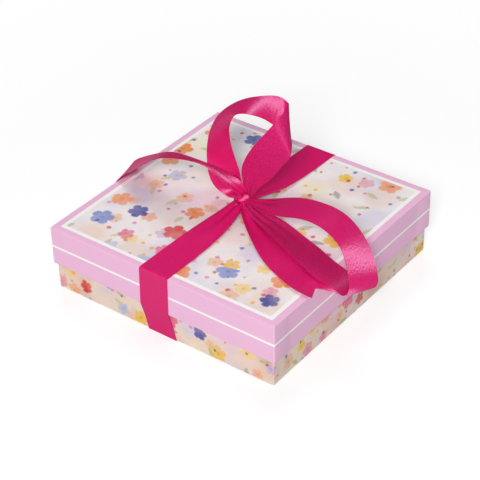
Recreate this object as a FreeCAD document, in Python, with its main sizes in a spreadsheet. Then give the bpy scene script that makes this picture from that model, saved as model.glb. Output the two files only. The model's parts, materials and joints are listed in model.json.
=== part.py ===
import FreeCAD, Part

import math
import os
import re

import Sketcher

# A lift-off-lid gift box: two trays folded from greyboard, wrapped in printed paper,
# with a padded insert, tied round once with satin ribbon that ends in a two-loop bow.
# Frame: origin on the surface the box stands on, under its centre; +X along the front, +Z up.

# Driving dimensions in millimetres; counts and shares are plain numbers.
SIZES = {
    "lid_x": 150.0,             # lid outside, along the front
    "lid_y": 150.0,             # lid outside, front to back
    "box_height": 40.0,         # underside of the base to the top of the lid
    "lid_depth": 23.6,          # top of the lid to its rim
    "board": 1.0,               # greyboard
    "paper": 0.12,              # printed wrapping paper
    "lining": 0.12,             # white lining sheets
    "tape": 0.10,               # corner stay tape
    "tape_leg": 9.0,            # how far a stay reaches round its corner, each way
    "turn_in": 12.0,            # paper folded in over a rim
    "lid_clearance": 0.25,      # between lid and base walls, each side
    "lid_rest_gap": 0.10,       # between the closed lid's lining and the base's rim
    "lining_margin": 0.6,       # lining sheets stop this far from the walls
    "foam_depth": 18.0,         # foam pad, flat
    "foam_corner": 3.0,         # radius of the pad's upright edges
    "velour": 0.6,              # pile cloth laminated on the pad
    "pad_clearance": 0.5,       # between the pad and the base's walls, each side
    "ribbon_width": 19.0,
    "ribbon_thick": 0.30,
    "front_edge_shift": -2.4,   # ribbon centre from the box's centre line, at the lid's front edge
    "front_rim_shift": -3.0,    # the same at the lid's front rim
    "back_edge_shift": 1.0,
    "back_rim_shift": 0.8,
    "under_shift": 0.4,         # the same under the base
    "bow_height": 65.0,         # top of the lid to the top of the standing loop
    "knot_x": 10.0,
    "knot_y": 9.0,
    "knot_z": 8.0,
    "knot_rise": 7.0,           # top of the lid to the middle of the knot
    "knot_bite": 0.75,          # how far the runs over the lid go into the knot
    "tail_notch": 8.0,          # depth of the swallow-tail cut
}

# Stations of the bow's strips. Each is one cross-section of the ribbon:
# across and along in percent of half the lid, rise over the lid in percent of the bow's height,
# turn and tilt of the width direction in degrees, and width in percent of the ribbon's.
# The first station, and the last of a loop, is on the knot instead, at a place from the knot's
# middle in percent of its half sizes.
UPPER_LOOP = (
    (-97.5, 67, 36, 0, 30, 35),
    (-20, 7.5, 17.5, 0, 38, 92),
    (-27, 8, 46, -3, 22, 100),
    (-24, 10, 70, -15, 12, 100),
    (-11, 13, 86, -42, 0, 100),
    (4, 15, 93, -62, -8, 100),
    (18, 18, 89, -82, 0, 100),
    (18, 22, 73, -105, 15, 100),
    (13, 22, 51, -119, 26, 95),
    (7, 13, 29, -119, 20, 68),
    (75, 83, 69, -115, 0, 35),
)
RIGHT_LOOP = (
    (97.5, -33, 36, -95, 0, 37),
    (22.5, -5.5, 21, -92, 0, 68),
    (46.5, -9.5, 32, -92, 0, 95),
    (74.5, -12.5, 39, -92, 2, 100),
    (97.5, -15.5, 33.5, -94, 7, 100),
    (110, -17.5, 19.5, -100, 11, 100),
    (116, -18, -2, -106, 15, 100),
    (115.7, -18.7, -12, -106, 17, 100),
    (113.7, -19.5, -18, -105, 17, 100),
    (110.1, -20.5, -20.3, -104, 16, 100),
    (106.7, -21.6, -17.8, -102, 14, 100),
    (104.8, -22.8, -11.2, -99, 11, 100),
    (103.2, -24.5, -0.5, -97, 6, 100),
    (95, -26, 4.8, -98, 5, 100),
    (74.5, -23, 5.2, -104, 5, 100),
    (48, -14.5, 6.5, -110, 0, 84),
    (22.5, -7, 8.7, -110, 0, 58),
    (97.5, -42, -29, -100, 0, 37),
)
LEFT_TAIL = (
    (-97.5, -33, 12, -75, 0, 37),
    (-19, -6, 22, -80, 15, 60),
    (-39, -6, 33.5, -88, 30, 95),
    (-61, -6, 29, -90, 16, 100),
    (-77, -6, 20.5, -90, 2, 100),
    (-91, -6, 12, -91, -4, 100),
    (-104.5, -6, 0, -92, -6, 100),
    (-113.5, -6, -15, -93, -4, 100),
    (-118.5, -6, -32, -93, 0, 100),
)
FRONT_TAIL = (
    (75, -92, -69, 50, 0, 37),
    (19, -13.5, 4, 48, 0, 58),
    (40, -25.5, 2.5, 52, 0, 87),
    (59, -35.5, 1.8, 56, 0, 100),
    (80, -44.5, 1.5, 62, 0, 100),
    (98.5, -50, 1.7, 64, -4, 100),
    (109, -50.5, -2, 62, -12, 100),
)
SPANS_PER_WIDTH = 6     # how finely a strip follows its curve
# Stations of the two runs over the lid, from its edge to the knot: percent of the way,
# rise in percent of the knot's, and width in percent of the ribbon's.
TOP_RUN = (
    (0, 1, 100),
    (21, 6, 100),
    (46, 15, 96),
    (72, 35, 76),
    (90, 65, 50),
    (100, 87, 37),
)

doc = FreeCAD.newDocument("gift_box")
sheet = doc.addObject("Spreadsheet::Sheet", "sizes")
for row, (alias, value) in enumerate(SIZES.items(), start=1):
    sheet.set("A%d" % row, alias)
    sheet.set("B%d" % row, str(value))
    sheet.setAlias("B%d" % row, alias)
doc.recompute()

sub_parts = []


def size(alias):
    """Value of one driving dimension."""
    return float(sheet.get(alias))


def bind(target, prop, formula):
    """Tie a property to a formula of the sheet's aliases, which are written bare."""
    target.setExpression(prop, re.sub(r"[a-z_]+", lambda word: "sizes." + word.group(), formula))


def node(feature, label):
    """Mark a feature as a sub-part, which is written to its own file."""
    feature.Label = label
    sub_parts.append(feature)
    return feature


def block(name, length, width, low, high, middle_x="0", middle_y="0"):
    """Upright block centred on a point, from one level to another; all sizes are formulas."""
    box = doc.addObject("Part::Box", name)
    bind(box, "Length", length)
    bind(box, "Width", width)
    bind(box, "Height", "(%s) - (%s)" % (high, low))
    bind(box, "Placement.Base.x", "(%s) - (%s) / 2" % (middle_x, length))
    bind(box, "Placement.Base.y", "(%s) - (%s) / 2" % (middle_y, width))
    bind(box, "Placement.Base.z", low)
    return box


def cut(name, base, tool):
    """One feature with another taken away."""
    feature = doc.addObject("Part::Cut", name)
    feature.Base = base
    feature.Tool = tool
    return feature


def fuse(name, base, tool):
    """Two features joined into one solid."""
    feature = doc.addObject("Part::Fuse", name)
    feature.Base = base
    feature.Tool = tool
    return feature


# Levels and thicknesses that several pieces share
FOOT = "ribbon_thick"
LID_TOP = "(ribbon_thick + box_height)"
LID_RIM = "(ribbon_thick + box_height - lid_depth)"
LID_CEILING = "(ribbon_thick + box_height - paper - board - lining)"
BASE_RIM = "(ribbon_thick + box_height - paper - board - lining - lid_rest_gap)"
FLOOR_TOP = "(ribbon_thick + paper + board)"
PAD_FOOT = "(ribbon_thick + paper + board + lining)"
SKIN = "(paper + tape)"
WALL = "(paper + tape + board)"
LINED_WALL = "(paper + tape + board + paper)"
BASE_INSET = "(paper + tape + board + paper + lid_clearance)"


class Tray:
    """One half of the box: its outside sizes, and the levels of its shut side and its rim."""

    def __init__(self, name, length, width, shut, rim, shut_is_top):
        self.name = name
        self.length = length
        self.width = width
        self.shut = shut
        self.rim = rim
        self.shut_is_top = shut_is_top

    def across(self, inset):
        """Length and width inside a given inset from the outside."""
        return "%s - 2 * %s" % (self.length, inset), "%s - 2 * %s" % (self.width, inset)

    def inner(self, level, depth):
        """Level moved into the tray by a depth, from its shut side or its rim."""
        into_is_up = (level == self.shut) != self.shut_is_top
        return "%s %s %s" % (level, "+" if into_is_up else "-", depth)

    def block(self, name, inset, shut, rim):
        """Block of the tray's plan at an inset, between two levels."""
        low, high = (rim, shut) if self.shut_is_top else (shut, rim)
        return block(self.name + name, *self.across(inset), low, high)

    def board_tray(self):
        """Tray folded up from one scored blank of greyboard."""
        board_rim = self.inner(self.rim, "paper")
        solid = self.block("BoardBlock", SKIN, self.inner(self.shut, "paper"), board_rim)
        hollow = self.block("BoardHollow", WALL, self.inner(self.shut, "(paper + board)"), board_rim)
        return node(cut(self.name + "BoardTray", solid, hollow), self.name + "_board_tray")

    def wrap_paper(self):
        """Printed paper over the outside, folded over the rim and turned in along the walls."""
        shell_rim = self.inner(self.rim, "paper")
        turn_end = self.inner(self.rim, "turn_in")
        past_rim = self.inner(self.rim, "(-paper)")
        solid = self.block("PaperBlock", "0", self.shut, self.rim)
        hollow = self.block("PaperHollow", "paper", self.inner(self.shut, "paper"), shell_rim)
        skin = cut(self.name + "PaperSkin", solid, hollow)
        fold = self.block("PaperFold", WALL, turn_end, shell_rim)
        mouth = self.block("PaperMouth", LINED_WALL, turn_end, past_rim)
        folded = fuse(self.name + "PaperFolded", skin, fold)
        return node(cut(self.name + "WrapPaper", folded, mouth), self.name + "_wrap_paper")

    def corner_stays(self):
        """Tape folded round each upright corner of the board, under the paper."""
        length, width = self.across("paper")
        top_and_foot = (self.inner(self.shut, "paper"), self.inner(self.rim, "paper"))
        low, high = reversed(top_and_foot) if self.shut_is_top else top_and_foot
        for y_sign, depth_word in ((-1, "front"), (1, "back")):
            for x_sign, side_word in ((-1, "left"), (1, "right")):
                corner = "%s_%s" % (depth_word, side_word)
                middle_x = "%d * (%s - tape_leg) / 2" % (x_sign, length)
                middle_y = "%d * (%s - tape_leg) / 2" % (y_sign, width)
                board_x = "%d * (%s - tape_leg - 2 * tape) / 2" % (x_sign, length)
                board_y = "%d * (%s - tape_leg - 2 * tape) / 2" % (y_sign, width)
                outside = block(self.name + "Tape_" + corner, "tape_leg", "tape_leg", low, high,
                                middle_x, middle_y)
                inside = block(self.name + "TapeBoard_" + corner, "tape_leg", "tape_leg", low, high,
                               board_x, board_y)
                node(cut(self.name + "Stay_" + corner, outside, inside),
                     "%s_corner_stay_%s" % (self.name, corner))


def box_trays():
    """Base and lid: board, stays, paper and lining of each."""
    base = Tray("base", "(lid_x - 2 * %s)" % BASE_INSET, "(lid_y - 2 * %s)" % BASE_INSET,
                FOOT, BASE_RIM, shut_is_top=False)
    lid = Tray("lid", "lid_x", "lid_y", LID_TOP, LID_RIM, shut_is_top=True)
    for tray in (base, lid):
        tray.board_tray()
        tray.wrap_paper()
        tray.corner_stays()
    lining_inset = "(%s + lining_margin)" % WALL
    node(block("baseLining", *base.across(lining_inset), FLOOR_TOP, PAD_FOOT), "base_floor_lining")
    ceiling = "(%s + lining)" % LID_CEILING
    node(block("lidLining", *lid.across(lining_inset), LID_CEILING, ceiling), "lid_ceiling_lining")
    return base


def rectangle_sketch(body, name, length, width):
    """Rectangle centred on the body's origin, with its two sides tied to formulas."""
    sketch = body.newObject("Sketcher::SketchObject", name)
    plane = [item for item in body.Origin.OriginFeatures if item.Role == "XY_Plane"][0]
    sketch.AttachmentSupport = [(plane, "")]
    sketch.MapMode = "FlatFace"
    corners = [FreeCAD.Vector(x, y, 0) for x, y in ((-1, -1), (1, -1), (1, 1), (-1, 1))]
    for number in range(4):
        sketch.addGeometry(Part.LineSegment(corners[number], corners[(number + 1) % 4]))
    for number in range(4):
        sketch.addConstraint(Sketcher.Constraint("Coincident", number, 2, (number + 1) % 4, 1))
    for number, direction in enumerate(("Horizontal", "Vertical", "Horizontal", "Vertical")):
        sketch.addConstraint(Sketcher.Constraint(direction, number))
    sketch.addConstraint(Sketcher.Constraint("Symmetric", 0, 1, 1, 2, -1, 1))
    for side, formula in ((0, length), (1, width)):
        index = sketch.addConstraint(Sketcher.Constraint("Distance", side, 2.0))
        bind(sketch, "Constraints[%d]" % index, formula)
    return sketch


def padded_insert(base):
    """Foam pad on the base's floor and the pile cloth on top of it."""
    length, width = base.across("(%s + pad_clearance)" % LINED_WALL)
    pad_top = "(%s + foam_depth)" % PAD_FOOT
    for label, low, depth in (("insert_foam_pad", PAD_FOOT, "foam_depth"),
                              ("insert_velour_cover", pad_top, "velour")):
        body = doc.addObject("PartDesign::Body", label.title().replace("_", ""))
        sketch = rectangle_sketch(body, label + "_plan", length, width)
        pad = body.newObject("PartDesign::Pad", label + "_pad")
        pad.Profile = sketch
        bind(pad, "Length", depth)
        doc.recompute()
        upright = [number for number, edge in enumerate(pad.Shape.Edges, start=1)
                   if abs(edge.Vertexes[0].Z - edge.Vertexes[-1].Z) > size("velour") / 2]
        rounding = body.newObject("PartDesign::Fillet", label + "_corners")
        rounding.Base = (pad, ["Edge%d" % number for number in upright])
        bind(rounding, "Radius", "foam_corner")
        bind(body, "Placement.Base.z", low)
        node(body, label)


def lid_top():
    """Level of the lid's top."""
    return size("ribbon_thick") + size("box_height")


def solid_node(label, shape):
    """Sub-part made straight from a solid."""
    feature = doc.addObject("Part::Feature", label.title().replace("_", ""))
    feature.Shape = shape
    feature.Placement = FreeCAD.Placement()
    return node(feature, label)


def section(centre, width_step, thick_step):
    """Closed rectangle round a centre, from its two half-steps."""
    corners = [centre - width_step - thick_step, centre + width_step - thick_step,
               centre + width_step + thick_step, centre - width_step + thick_step]
    return Part.makePolygon(corners + corners[:1])


def ruled_face(rail, next_rail):
    """Face of straight lines between two rails that share their knots."""
    surface = Part.BSplineSurface()
    surface.buildFromPolesMultsKnots([list(pair) for pair in zip(rail.getPoles(), next_rail.getPoles())],
                                     rail.getMultiplicities(), [2, 2], rail.getKnots(), [0, 1],
                                     False, False, rail.Degree, 1)
    return surface.toShape()


class Strip:
    """Ribbon carried through a list of stations, with its own frame at each."""

    def __init__(self, stations, is_loop):
        over_lid = (size("lid_x") / 2, size("lid_y") / 2, size("bow_height"), lid_top())
        on_knot = (size("knot_x") / 2, size("knot_y") / 2, size("knot_z") / 2, lid_top() + size("knot_rise"))
        knot_ends = (0, len(stations) - 1) if is_loop else (0,)
        self.centres = []
        self.width_steps = []
        for number, (across, along, rise, turn, tilt, share) in enumerate(stations):
            half_x, half_y, height, level = on_knot if number in knot_ends else over_lid
            self.centres.append(FreeCAD.Vector(across / 100 * half_x, along / 100 * half_y,
                                               level + rise / 100 * height))
            turned, tilted = math.radians(turn), math.radians(tilt)
            step = FreeCAD.Vector(math.cos(turned) * math.cos(tilted),
                                  math.sin(turned) * math.cos(tilted), math.sin(tilted))
            self.width_steps.append(step * (share / 100 * size("ribbon_width") / 2))
        self.lay_spans()

    def lay_spans(self):
        """Smooth the stations into short spans: centre and width direction run through every station."""
        self.reach = [0.0]
        for before, after in zip(self.centres, self.centres[1:]):
            self.reach.append(self.reach[-1] + before.distanceToPoint(after))
        line, widths = Part.BSplineCurve(), Part.BSplineCurve()
        line.interpolate(Points=self.centres, Parameters=self.reach)
        widths.interpolate(Points=self.width_steps, Parameters=self.reach)
        spans = round(self.reach[-1] / size("ribbon_width") * SPANS_PER_WIDTH)
        self.stops = [self.reach[-1] * number / spans for number in range(spans + 1)]
        self.centres = [line.value(stop) for stop in self.stops]
        self.width_steps = [widths.value(stop) for stop in self.stops]
        self.travel = [line.tangent(stop)[0] for stop in self.stops]

    def face_normal(self, number):
        """Direction across the ribbon's thickness at the end of a span."""
        return self.travel[number].cross(self.width_steps[number]).normalize()

    def solid(self):
        """Solid between four rails, which run along the ribbon's four long corners."""
        half_thick = size("ribbon_thick") / 2
        lift = [self.face_normal(number) * half_thick for number in range(len(self.centres))]
        rails = []
        for side, level in ((-1, -1), (1, -1), (1, 1), (-1, 1)):
            rail = Part.BSplineCurve()
            rail.interpolate(Points=[centre + step * side + up * level for centre, step, up
                                     in zip(self.centres, self.width_steps, lift)],
                             Parameters=self.stops)
            rails.append(rail)
        faces = []
        for start, stop in zip(self.reach, self.reach[1:]):
            lengths = [rail.copy() for rail in rails]
            for length in lengths:
                length.segment(start, stop)
            faces += [ruled_face(lengths[number], lengths[(number + 1) % 4]) for number in range(4)]
        for number in (0, -1):
            faces.append(Part.Face(section(self.centres[number], self.width_steps[number], lift[number])))
        shell = Part.makeShell(faces)
        shell.sewShape()
        body = Part.makeSolid(shell)
        return body if body.Volume > 0 else body.reversed()

    def notched_solid(self):
        """The strip with a swallow-tail cut in its last end, as wide as the ribbon there."""
        last = len(self.centres) - 1
        end, step, normal = self.centres[last], self.width_steps[last], self.face_normal(last)
        travel = step.cross(normal).normalize()
        reach = normal * size("tail_notch")
        deepest = end - travel * size("tail_notch")
        past_end = end + travel * size("tail_notch")
        corners = [deepest, past_end - step * 2, past_end + step * 2, deepest]
        wedge = Part.Face(Part.makePolygon([corner - reach for corner in corners])).extrude(reach * 2)
        return self.solid().cut(wedge)


def ribbon_top_run(label, y_sign, edge_shift, rim_shift):
    """Ribbon from the lid's rim up its wall, over its edge and up to the knot."""
    half_y, thick = size("lid_y") / 2, size("ribbon_thick")
    half_width = size("ribbon_width") / 2
    knot_y = size("knot_y") / 2 - size("knot_bite")
    upward = FreeCAD.Vector(0, 0, thick / 2)
    wires = []
    for way, rise, share in TOP_RUN:
        left = 1 - way / 100
        centre = FreeCAD.Vector(edge_shift * left, y_sign * (knot_y + (half_y - knot_y) * left),
                                lid_top() + thick / 2 + rise / 100 * size("knot_rise"))
        wires.append(section(centre, FreeCAD.Vector(half_width * share / 100, 0, 0), upward))
    over_lid = Part.makeLoft(wires, True, False)
    wall_y = y_sign * half_y
    rim_z = lid_top() - size("lid_depth")
    edge_z = lid_top() + thick
    outline = [FreeCAD.Vector(rim_shift - half_width, wall_y, rim_z),
               FreeCAD.Vector(rim_shift + half_width, wall_y, rim_z),
               FreeCAD.Vector(edge_shift + half_width, wall_y, edge_z),
               FreeCAD.Vector(edge_shift - half_width, wall_y, edge_z)]
    wall_face = Part.Face(Part.makePolygon(outline + outline[:1]))
    down_wall = wall_face.extrude(FreeCAD.Vector(0, y_sign * thick, 0))
    solid_node(label, over_lid.fuse(down_wall).removeSplitter())


def ribbon_lower_run(label, y_sign, rim_shift, foot_half_y):
    """Ribbon from the lid's rim straight to the foot of the base, standing off the base's wall."""
    thick = size("ribbon_thick")
    across = FreeCAD.Vector(size("ribbon_width") / 2, 0, 0)
    outward = FreeCAD.Vector(0, y_sign * thick / 2, 0)
    at_rim = FreeCAD.Vector(rim_shift, y_sign * size("lid_y") / 2, lid_top() - size("lid_depth"))
    at_foot = FreeCAD.Vector(size("under_shift"), y_sign * foot_half_y, thick)
    wires = [section(point + outward, across, outward) for point in (at_rim, at_foot)]
    solid_node(label, Part.makeLoft(wires, True, True))


def ribbon_and_bow():
    """The one wrap of ribbon, front over top to back and underneath, and its bow."""
    wall = 2 * size("paper") + size("tape") + size("board") + size("lid_clearance")
    foot_half_y = size("lid_y") / 2 - wall
    under_length = "(lid_y - 2 * %s + 2 * ribbon_thick)" % BASE_INSET
    node(block("ribbonUnder", "ribbon_width", under_length, "0", FOOT, "under_shift"), "ribbon_under_run")
    for word, y_sign in (("front", -1), ("back", 1)):
        edge_shift, rim_shift = size(word + "_edge_shift"), size(word + "_rim_shift")
        ribbon_lower_run("ribbon_%s_lower" % word, y_sign, rim_shift, foot_half_y)
        ribbon_top_run("ribbon_%s_run" % word, y_sign, edge_shift, rim_shift)
    knot = doc.addObject("Part::Ellipsoid", "knot")
    knot.Angle1, knot.Angle2, knot.Angle3 = -90, 90, 360
    bind(knot, "Radius1", "knot_z / 2")
    bind(knot, "Radius2", "knot_x / 2")
    bind(knot, "Radius3", "knot_y / 2")
    bind(knot, "Placement.Base.z", "%s + knot_rise" % LID_TOP)
    node(knot, "bow_knot")
    for label, stations in (("bow_upper_loop", UPPER_LOOP), ("bow_right_loop", RIGHT_LOOP)):
        solid_node(label, Strip(stations, is_loop=True).solid())
    for label, stations in (("bow_left_tail", LEFT_TAIL), ("bow_front_tail", FRONT_TAIL)):
        solid_node(label, Strip(stations, is_loop=False).notched_solid())


def write_parts():
    """Check every object, then write each sub-part to its own file."""
    doc.recompute()
    for item in doc.Objects:
        if "Invalid" in item.State or "Error" in item.State:
            raise RuntimeError("%s failed to build" % item.Label)
    for item in sub_parts:
        if item.Shape.isNull() or not item.Shape.isValid() or not item.Shape.Solids:
            raise RuntimeError("%s has no sound solid" % item.Label)
    os.makedirs("parts", exist_ok=True)
    for item in sub_parts:
        item.Shape.exportStep("parts/%s.step" % item.Label)
        print("%-32s solids %d volume %.2f" % (item.Label, len(item.Shape.Solids), item.Shape.Volume))


base_tray = box_trays()
padded_insert(base_tray)
ribbon_and_bow()
write_parts()
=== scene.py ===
"""Dresses the gift box: printed paper over board trays, a padded insert and a tied satin ribbon."""

import json
import logging
import math
from dataclasses import dataclass, field
from enum import Enum

import bpy
import numpy as np
from mathutils import Matrix, Vector
from numpy.typing import NDArray

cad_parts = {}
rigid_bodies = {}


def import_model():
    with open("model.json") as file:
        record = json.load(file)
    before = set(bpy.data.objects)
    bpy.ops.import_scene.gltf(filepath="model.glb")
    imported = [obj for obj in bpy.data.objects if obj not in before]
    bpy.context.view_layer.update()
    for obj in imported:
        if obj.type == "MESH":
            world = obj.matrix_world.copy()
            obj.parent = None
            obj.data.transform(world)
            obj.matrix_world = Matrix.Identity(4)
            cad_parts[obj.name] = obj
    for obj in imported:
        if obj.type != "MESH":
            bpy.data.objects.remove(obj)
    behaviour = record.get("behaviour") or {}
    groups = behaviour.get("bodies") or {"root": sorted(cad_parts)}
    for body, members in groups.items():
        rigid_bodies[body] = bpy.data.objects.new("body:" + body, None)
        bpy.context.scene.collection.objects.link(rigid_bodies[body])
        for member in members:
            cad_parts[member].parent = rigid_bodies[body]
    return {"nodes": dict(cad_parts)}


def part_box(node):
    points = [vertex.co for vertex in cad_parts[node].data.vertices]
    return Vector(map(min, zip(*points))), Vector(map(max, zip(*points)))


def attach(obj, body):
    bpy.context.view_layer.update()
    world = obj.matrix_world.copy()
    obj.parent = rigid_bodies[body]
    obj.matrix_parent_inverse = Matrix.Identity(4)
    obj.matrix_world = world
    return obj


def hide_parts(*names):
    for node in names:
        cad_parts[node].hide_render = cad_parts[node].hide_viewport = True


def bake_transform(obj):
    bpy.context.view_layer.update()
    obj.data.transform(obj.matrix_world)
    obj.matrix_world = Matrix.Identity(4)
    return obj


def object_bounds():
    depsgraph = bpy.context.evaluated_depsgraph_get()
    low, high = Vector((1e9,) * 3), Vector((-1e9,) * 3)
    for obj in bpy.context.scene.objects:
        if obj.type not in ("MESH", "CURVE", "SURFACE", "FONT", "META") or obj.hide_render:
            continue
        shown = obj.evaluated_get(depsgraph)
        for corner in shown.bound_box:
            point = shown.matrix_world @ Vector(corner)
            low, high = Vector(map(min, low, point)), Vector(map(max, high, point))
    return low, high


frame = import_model()
CAD_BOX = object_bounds()

log = logging.getLogger("gift_box")

Tree = bpy.types.NodeTree
Node = bpy.types.Node
Piece = bpy.types.Object
Material = bpy.types.Material

MM = 0.001
PAPER = 0.12 * MM
TAPE = 0.10 * MM
BOARD = 1.0 * MM
LINED_WALL = PAPER + TAPE + BOARD + PAPER
TURN_IN = 12 * MM           # how far the paper is turned in past the rim
RIBBON_WIDTH = 19 * MM
RIBBON_THICK = 0.30 * MM
AIR = 0.05 * MM             # left between two pieces that lie on each other
KNOT_SHARE = 0.37           # width left of the ribbon where it is pinched in the knot
KNOT_RISE = 7 * MM          # height over the lid that the rises of the runs over it are percents of
BOW_HEIGHT = 65 * MM        # height over the lid that the bow's stations are percents of
NOISE = {1: 0.3, 2: 0.7}    # limits of a Map Range node that spreads what a noise gives
IMAGE_SIDE = 480            # pixels across the picture that the camera was fitted to


class Body(Enum):
    """The two halves that move apart."""

    BASE = "base"
    LID = "lid"


class Motif(Enum):
    """Shapes that the print strews over the paper."""

    BLOSSOM = "five round petals"
    DOT = "round spot"
    LEAF = "pointed leaf"


def linear_rgb(code: str) -> tuple[float, float, float, float]:
    """Linear colour, with alpha 1, of an sRGB hex value.

    Args:
        code: the value, with its leading sign.

    Returns:
        Red, green, blue and alpha.
    """
    shares = np.array([int(code[place:place + 2], 16) for place in (1, 3, 5)]) / 255
    bent = ((shares + 0.055) / 1.055) ** 2.4
    return (*np.where(shares <= 0.04045, shares / 12.92, bent).tolist(), 1.0)


def set_inputs(tree: Tree, node: Node, inputs: dict) -> None:
    """Give a node's inputs their values and links.

    Args:
        tree: node tree that holds the node.
        node: the node.
        inputs: value, socket or node for each input, by the input's name or number. A node gives its first
            output.
    """
    for key, value in inputs.items():
        if isinstance(value, Node):
            value = next(socket for socket in value.outputs if socket.enabled)
        if isinstance(value, bpy.types.NodeSocket):
            tree.links.new(value, node.inputs[key])
        else:
            node.inputs[key].default_value = value


def add_node(tree: Tree, kind: str, inputs: dict | None = None, **settings) -> Node:
    """Add a node to a tree.

    Args:
        tree: node tree that gets the node.
        kind: the node's type name, without its leading ShaderNode.
        inputs: values and links, as for set_inputs.
        settings: the node's own properties.

    Returns:
        The new node.
    """
    node = tree.nodes.new("ShaderNode" + kind)
    for name, value in settings.items():
        setattr(node, name, value)
    set_inputs(tree, node, inputs or {})
    return node


def set_ramp(node: Node, stops: list[tuple[float, str]], interpolation: str = "LINEAR") -> Node:
    """Give a colour ramp its stops.

    Args:
        node: colour ramp node.
        stops: place from 0 to 1 and sRGB hex colour of each stop, in order.
        interpolation: how the ramp goes between its stops.

    Returns:
        The same node.
    """
    ramp = node.color_ramp
    ramp.interpolation = interpolation
    while len(ramp.elements) < len(stops):
        ramp.elements.new(1.0)
    for element, (place, code) in zip(ramp.elements, stops):
        element.position = place
        element.color = linear_rgb(code)
    return node


def smooth_step(low: float, high: float, values: NDArray) -> NDArray:
    """Rise from 0 at low to 1 at high along the cubic 3t^2 - 2t^3."""
    share = np.clip((values - low) / (high - low), 0, 1)
    return share * share * (3 - 2 * share)


def distance_along(points: NDArray) -> NDArray:
    """Distance of each point from the first, along the straight lines from point to point."""
    return np.concatenate([[0], np.cumsum(np.linalg.norm(np.diff(points, axis=0), axis=1))])


def spline_through(stops: NDArray, values: NDArray, where: NDArray) -> NDArray:
    """Natural cubic spline through values at stops.

    Each span is a cubic whose second derivative runs straight from one stop's bend to the next. The bends
    solve one set of linear equations that makes the slopes meet, with no bend at the two ends.

    Args:
        stops: rising distances, one for each row of values.
        values: rows of numbers to pass through.
        where: distances to work out.

    Returns:
        One row of numbers for each distance in where.
    """
    gaps = np.diff(stops)
    count = len(stops)
    system = np.eye(count)
    slopes = np.zeros_like(values, dtype=float)
    inner = np.arange(1, count - 1)
    system[inner, inner - 1] = gaps[:-1]
    system[inner, inner] = 2 * (gaps[:-1] + gaps[1:])
    system[inner, inner + 1] = gaps[1:]
    steps = np.diff(values, axis=0) / gaps[:, None]
    slopes[1:-1] = 6 * np.diff(steps, axis=0)
    bends = np.linalg.solve(system, slopes)
    span = np.clip(np.searchsorted(stops, where) - 1, 0, count - 2)
    gap = gaps[span][:, None]
    after = ((where - stops[span])[:, None]) / gap
    before = 1 - after
    bow = ((before ** 3 - before) * bends[span] + (after ** 3 - after) * bends[span + 1]) * gap * gap / 6
    return before * values[span] + after * values[span + 1] + bow


def along_rows(stops: NDArray, rows: NDArray, where: NDArray) -> NDArray:
    """Rows of three numbers read at any array of distances by straight lines between the stops."""
    return np.stack([np.interp(where, stops, rows[:, axis]) for axis in range(3)], axis=-1)


def grid_faces(rows: int, columns: int, closed: bool) -> NDArray:
    """Corner numbers of the quads of a grid whose points are numbered row by row.

    Args:
        rows: points down the grid.
        columns: points across it.
        closed: whether the last column joins the first.

    Returns:
        Array of quads, four numbers each.
    """
    across = np.arange(columns if closed else columns - 1)
    row, column = np.meshgrid(np.arange(rows - 1), across, indexing="ij")
    after = (column + 1) % columns
    this, below = row * columns, (row + 1) * columns
    return np.stack((this + column, below + column, below + after, this + after), axis=-1).reshape(-1, 4)


def mesh_piece(name: str, points: NDArray, *faces: NDArray, flip: bool = False) -> Piece:
    """Smooth mesh object at the origin.

    Args:
        name: the piece's name.
        points: places, in an array of any shape whose last axis is x, y and z.
        faces: arrays of corner numbers, each of faces with one count of corners.
        flip: whether every face is turned round.

    Returns:
        The new object.
    """
    corners = []
    for group in faces:
        corners += (group[:, ::-1] if flip else group).tolist()
    mesh = bpy.data.meshes.new(name)
    mesh.from_pydata(points.reshape(-1, 3).tolist(), [], corners)
    mesh.shade_smooth()
    piece = bpy.data.objects.new(name, mesh)
    bpy.context.scene.collection.objects.link(piece)
    return piece


def map_corners(piece: Piece, name: str, places: NDArray) -> None:
    """Store a UV map in metres: a row of two numbers for each corner of each face, in the faces' order."""
    layer = piece.data.uv_layers.new(name=name)
    layer.data.foreach_set("uv", places.ravel().astype(np.float32))


def thicken(piece: Piece, thickness: float, offset: float, back: int = 0) -> None:
    """Give a surface a wall with crisp rims.

    Args:
        piece: the surface.
        thickness: the wall's.
        offset: -1 puts the wall behind the surface, 0 half behind it and 1 before it.
        back: shifts the material of its far side.
    """
    wall = piece.modifiers.new("wall", "SOLIDIFY")
    wall.thickness = thickness
    wall.offset = offset
    wall.use_even_offset = True
    wall.material_offset = back
    mesh = piece.data
    side = np.empty(len(mesh.loops), dtype=np.int64)
    mesh.loops.foreach_get("edge_index", side)
    at_rim = np.bincount(side, minlength=len(mesh.edges)) == 1
    mesh.attributes.new("sharp_edge", "BOOLEAN", "EDGE").data.foreach_set("value", at_rim)


def dress(piece: Piece, body: Body, slot: str, node: str, *finishes: Material) -> None:
    """Give a piece its finishes, its body and the solid that it stands for, and report it.

    Args:
        piece: the piece.
        body: half of the box that it moves with.
        slot: the record's name for its material; not used.
        node: solid that it stands for.
        finishes: materials in the order of its faces' numbers.
    """
    for finish in finishes:
        piece.data.materials.append(finish)
    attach(piece, body.value)
    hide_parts(node)
    log.info("%s rides on %s with %d faces", piece.name, body.value, len(piece.data.polygons))


class Finish:
    """Material named for what it is made of, whose subclass paints its surface."""

    name: str

    def make(self) -> Material:
        """Set up a principled shader and let the subclass paint it.

        Returns:
            The new material.
        """
        material = bpy.data.materials.new(self.name)
        material.use_nodes = True
        tree = material.node_tree
        tree.nodes.clear()
        shader = add_node(tree, "BsdfPrincipled")
        add_node(tree, "OutputMaterial", {"Surface": shader})
        self.paint(tree, shader)
        return material

    def paint(self, tree: Tree, shader: Node) -> None:
        """Make the patterns in a material's tree and give the shader its values and links."""
        raise NotImplementedError


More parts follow.
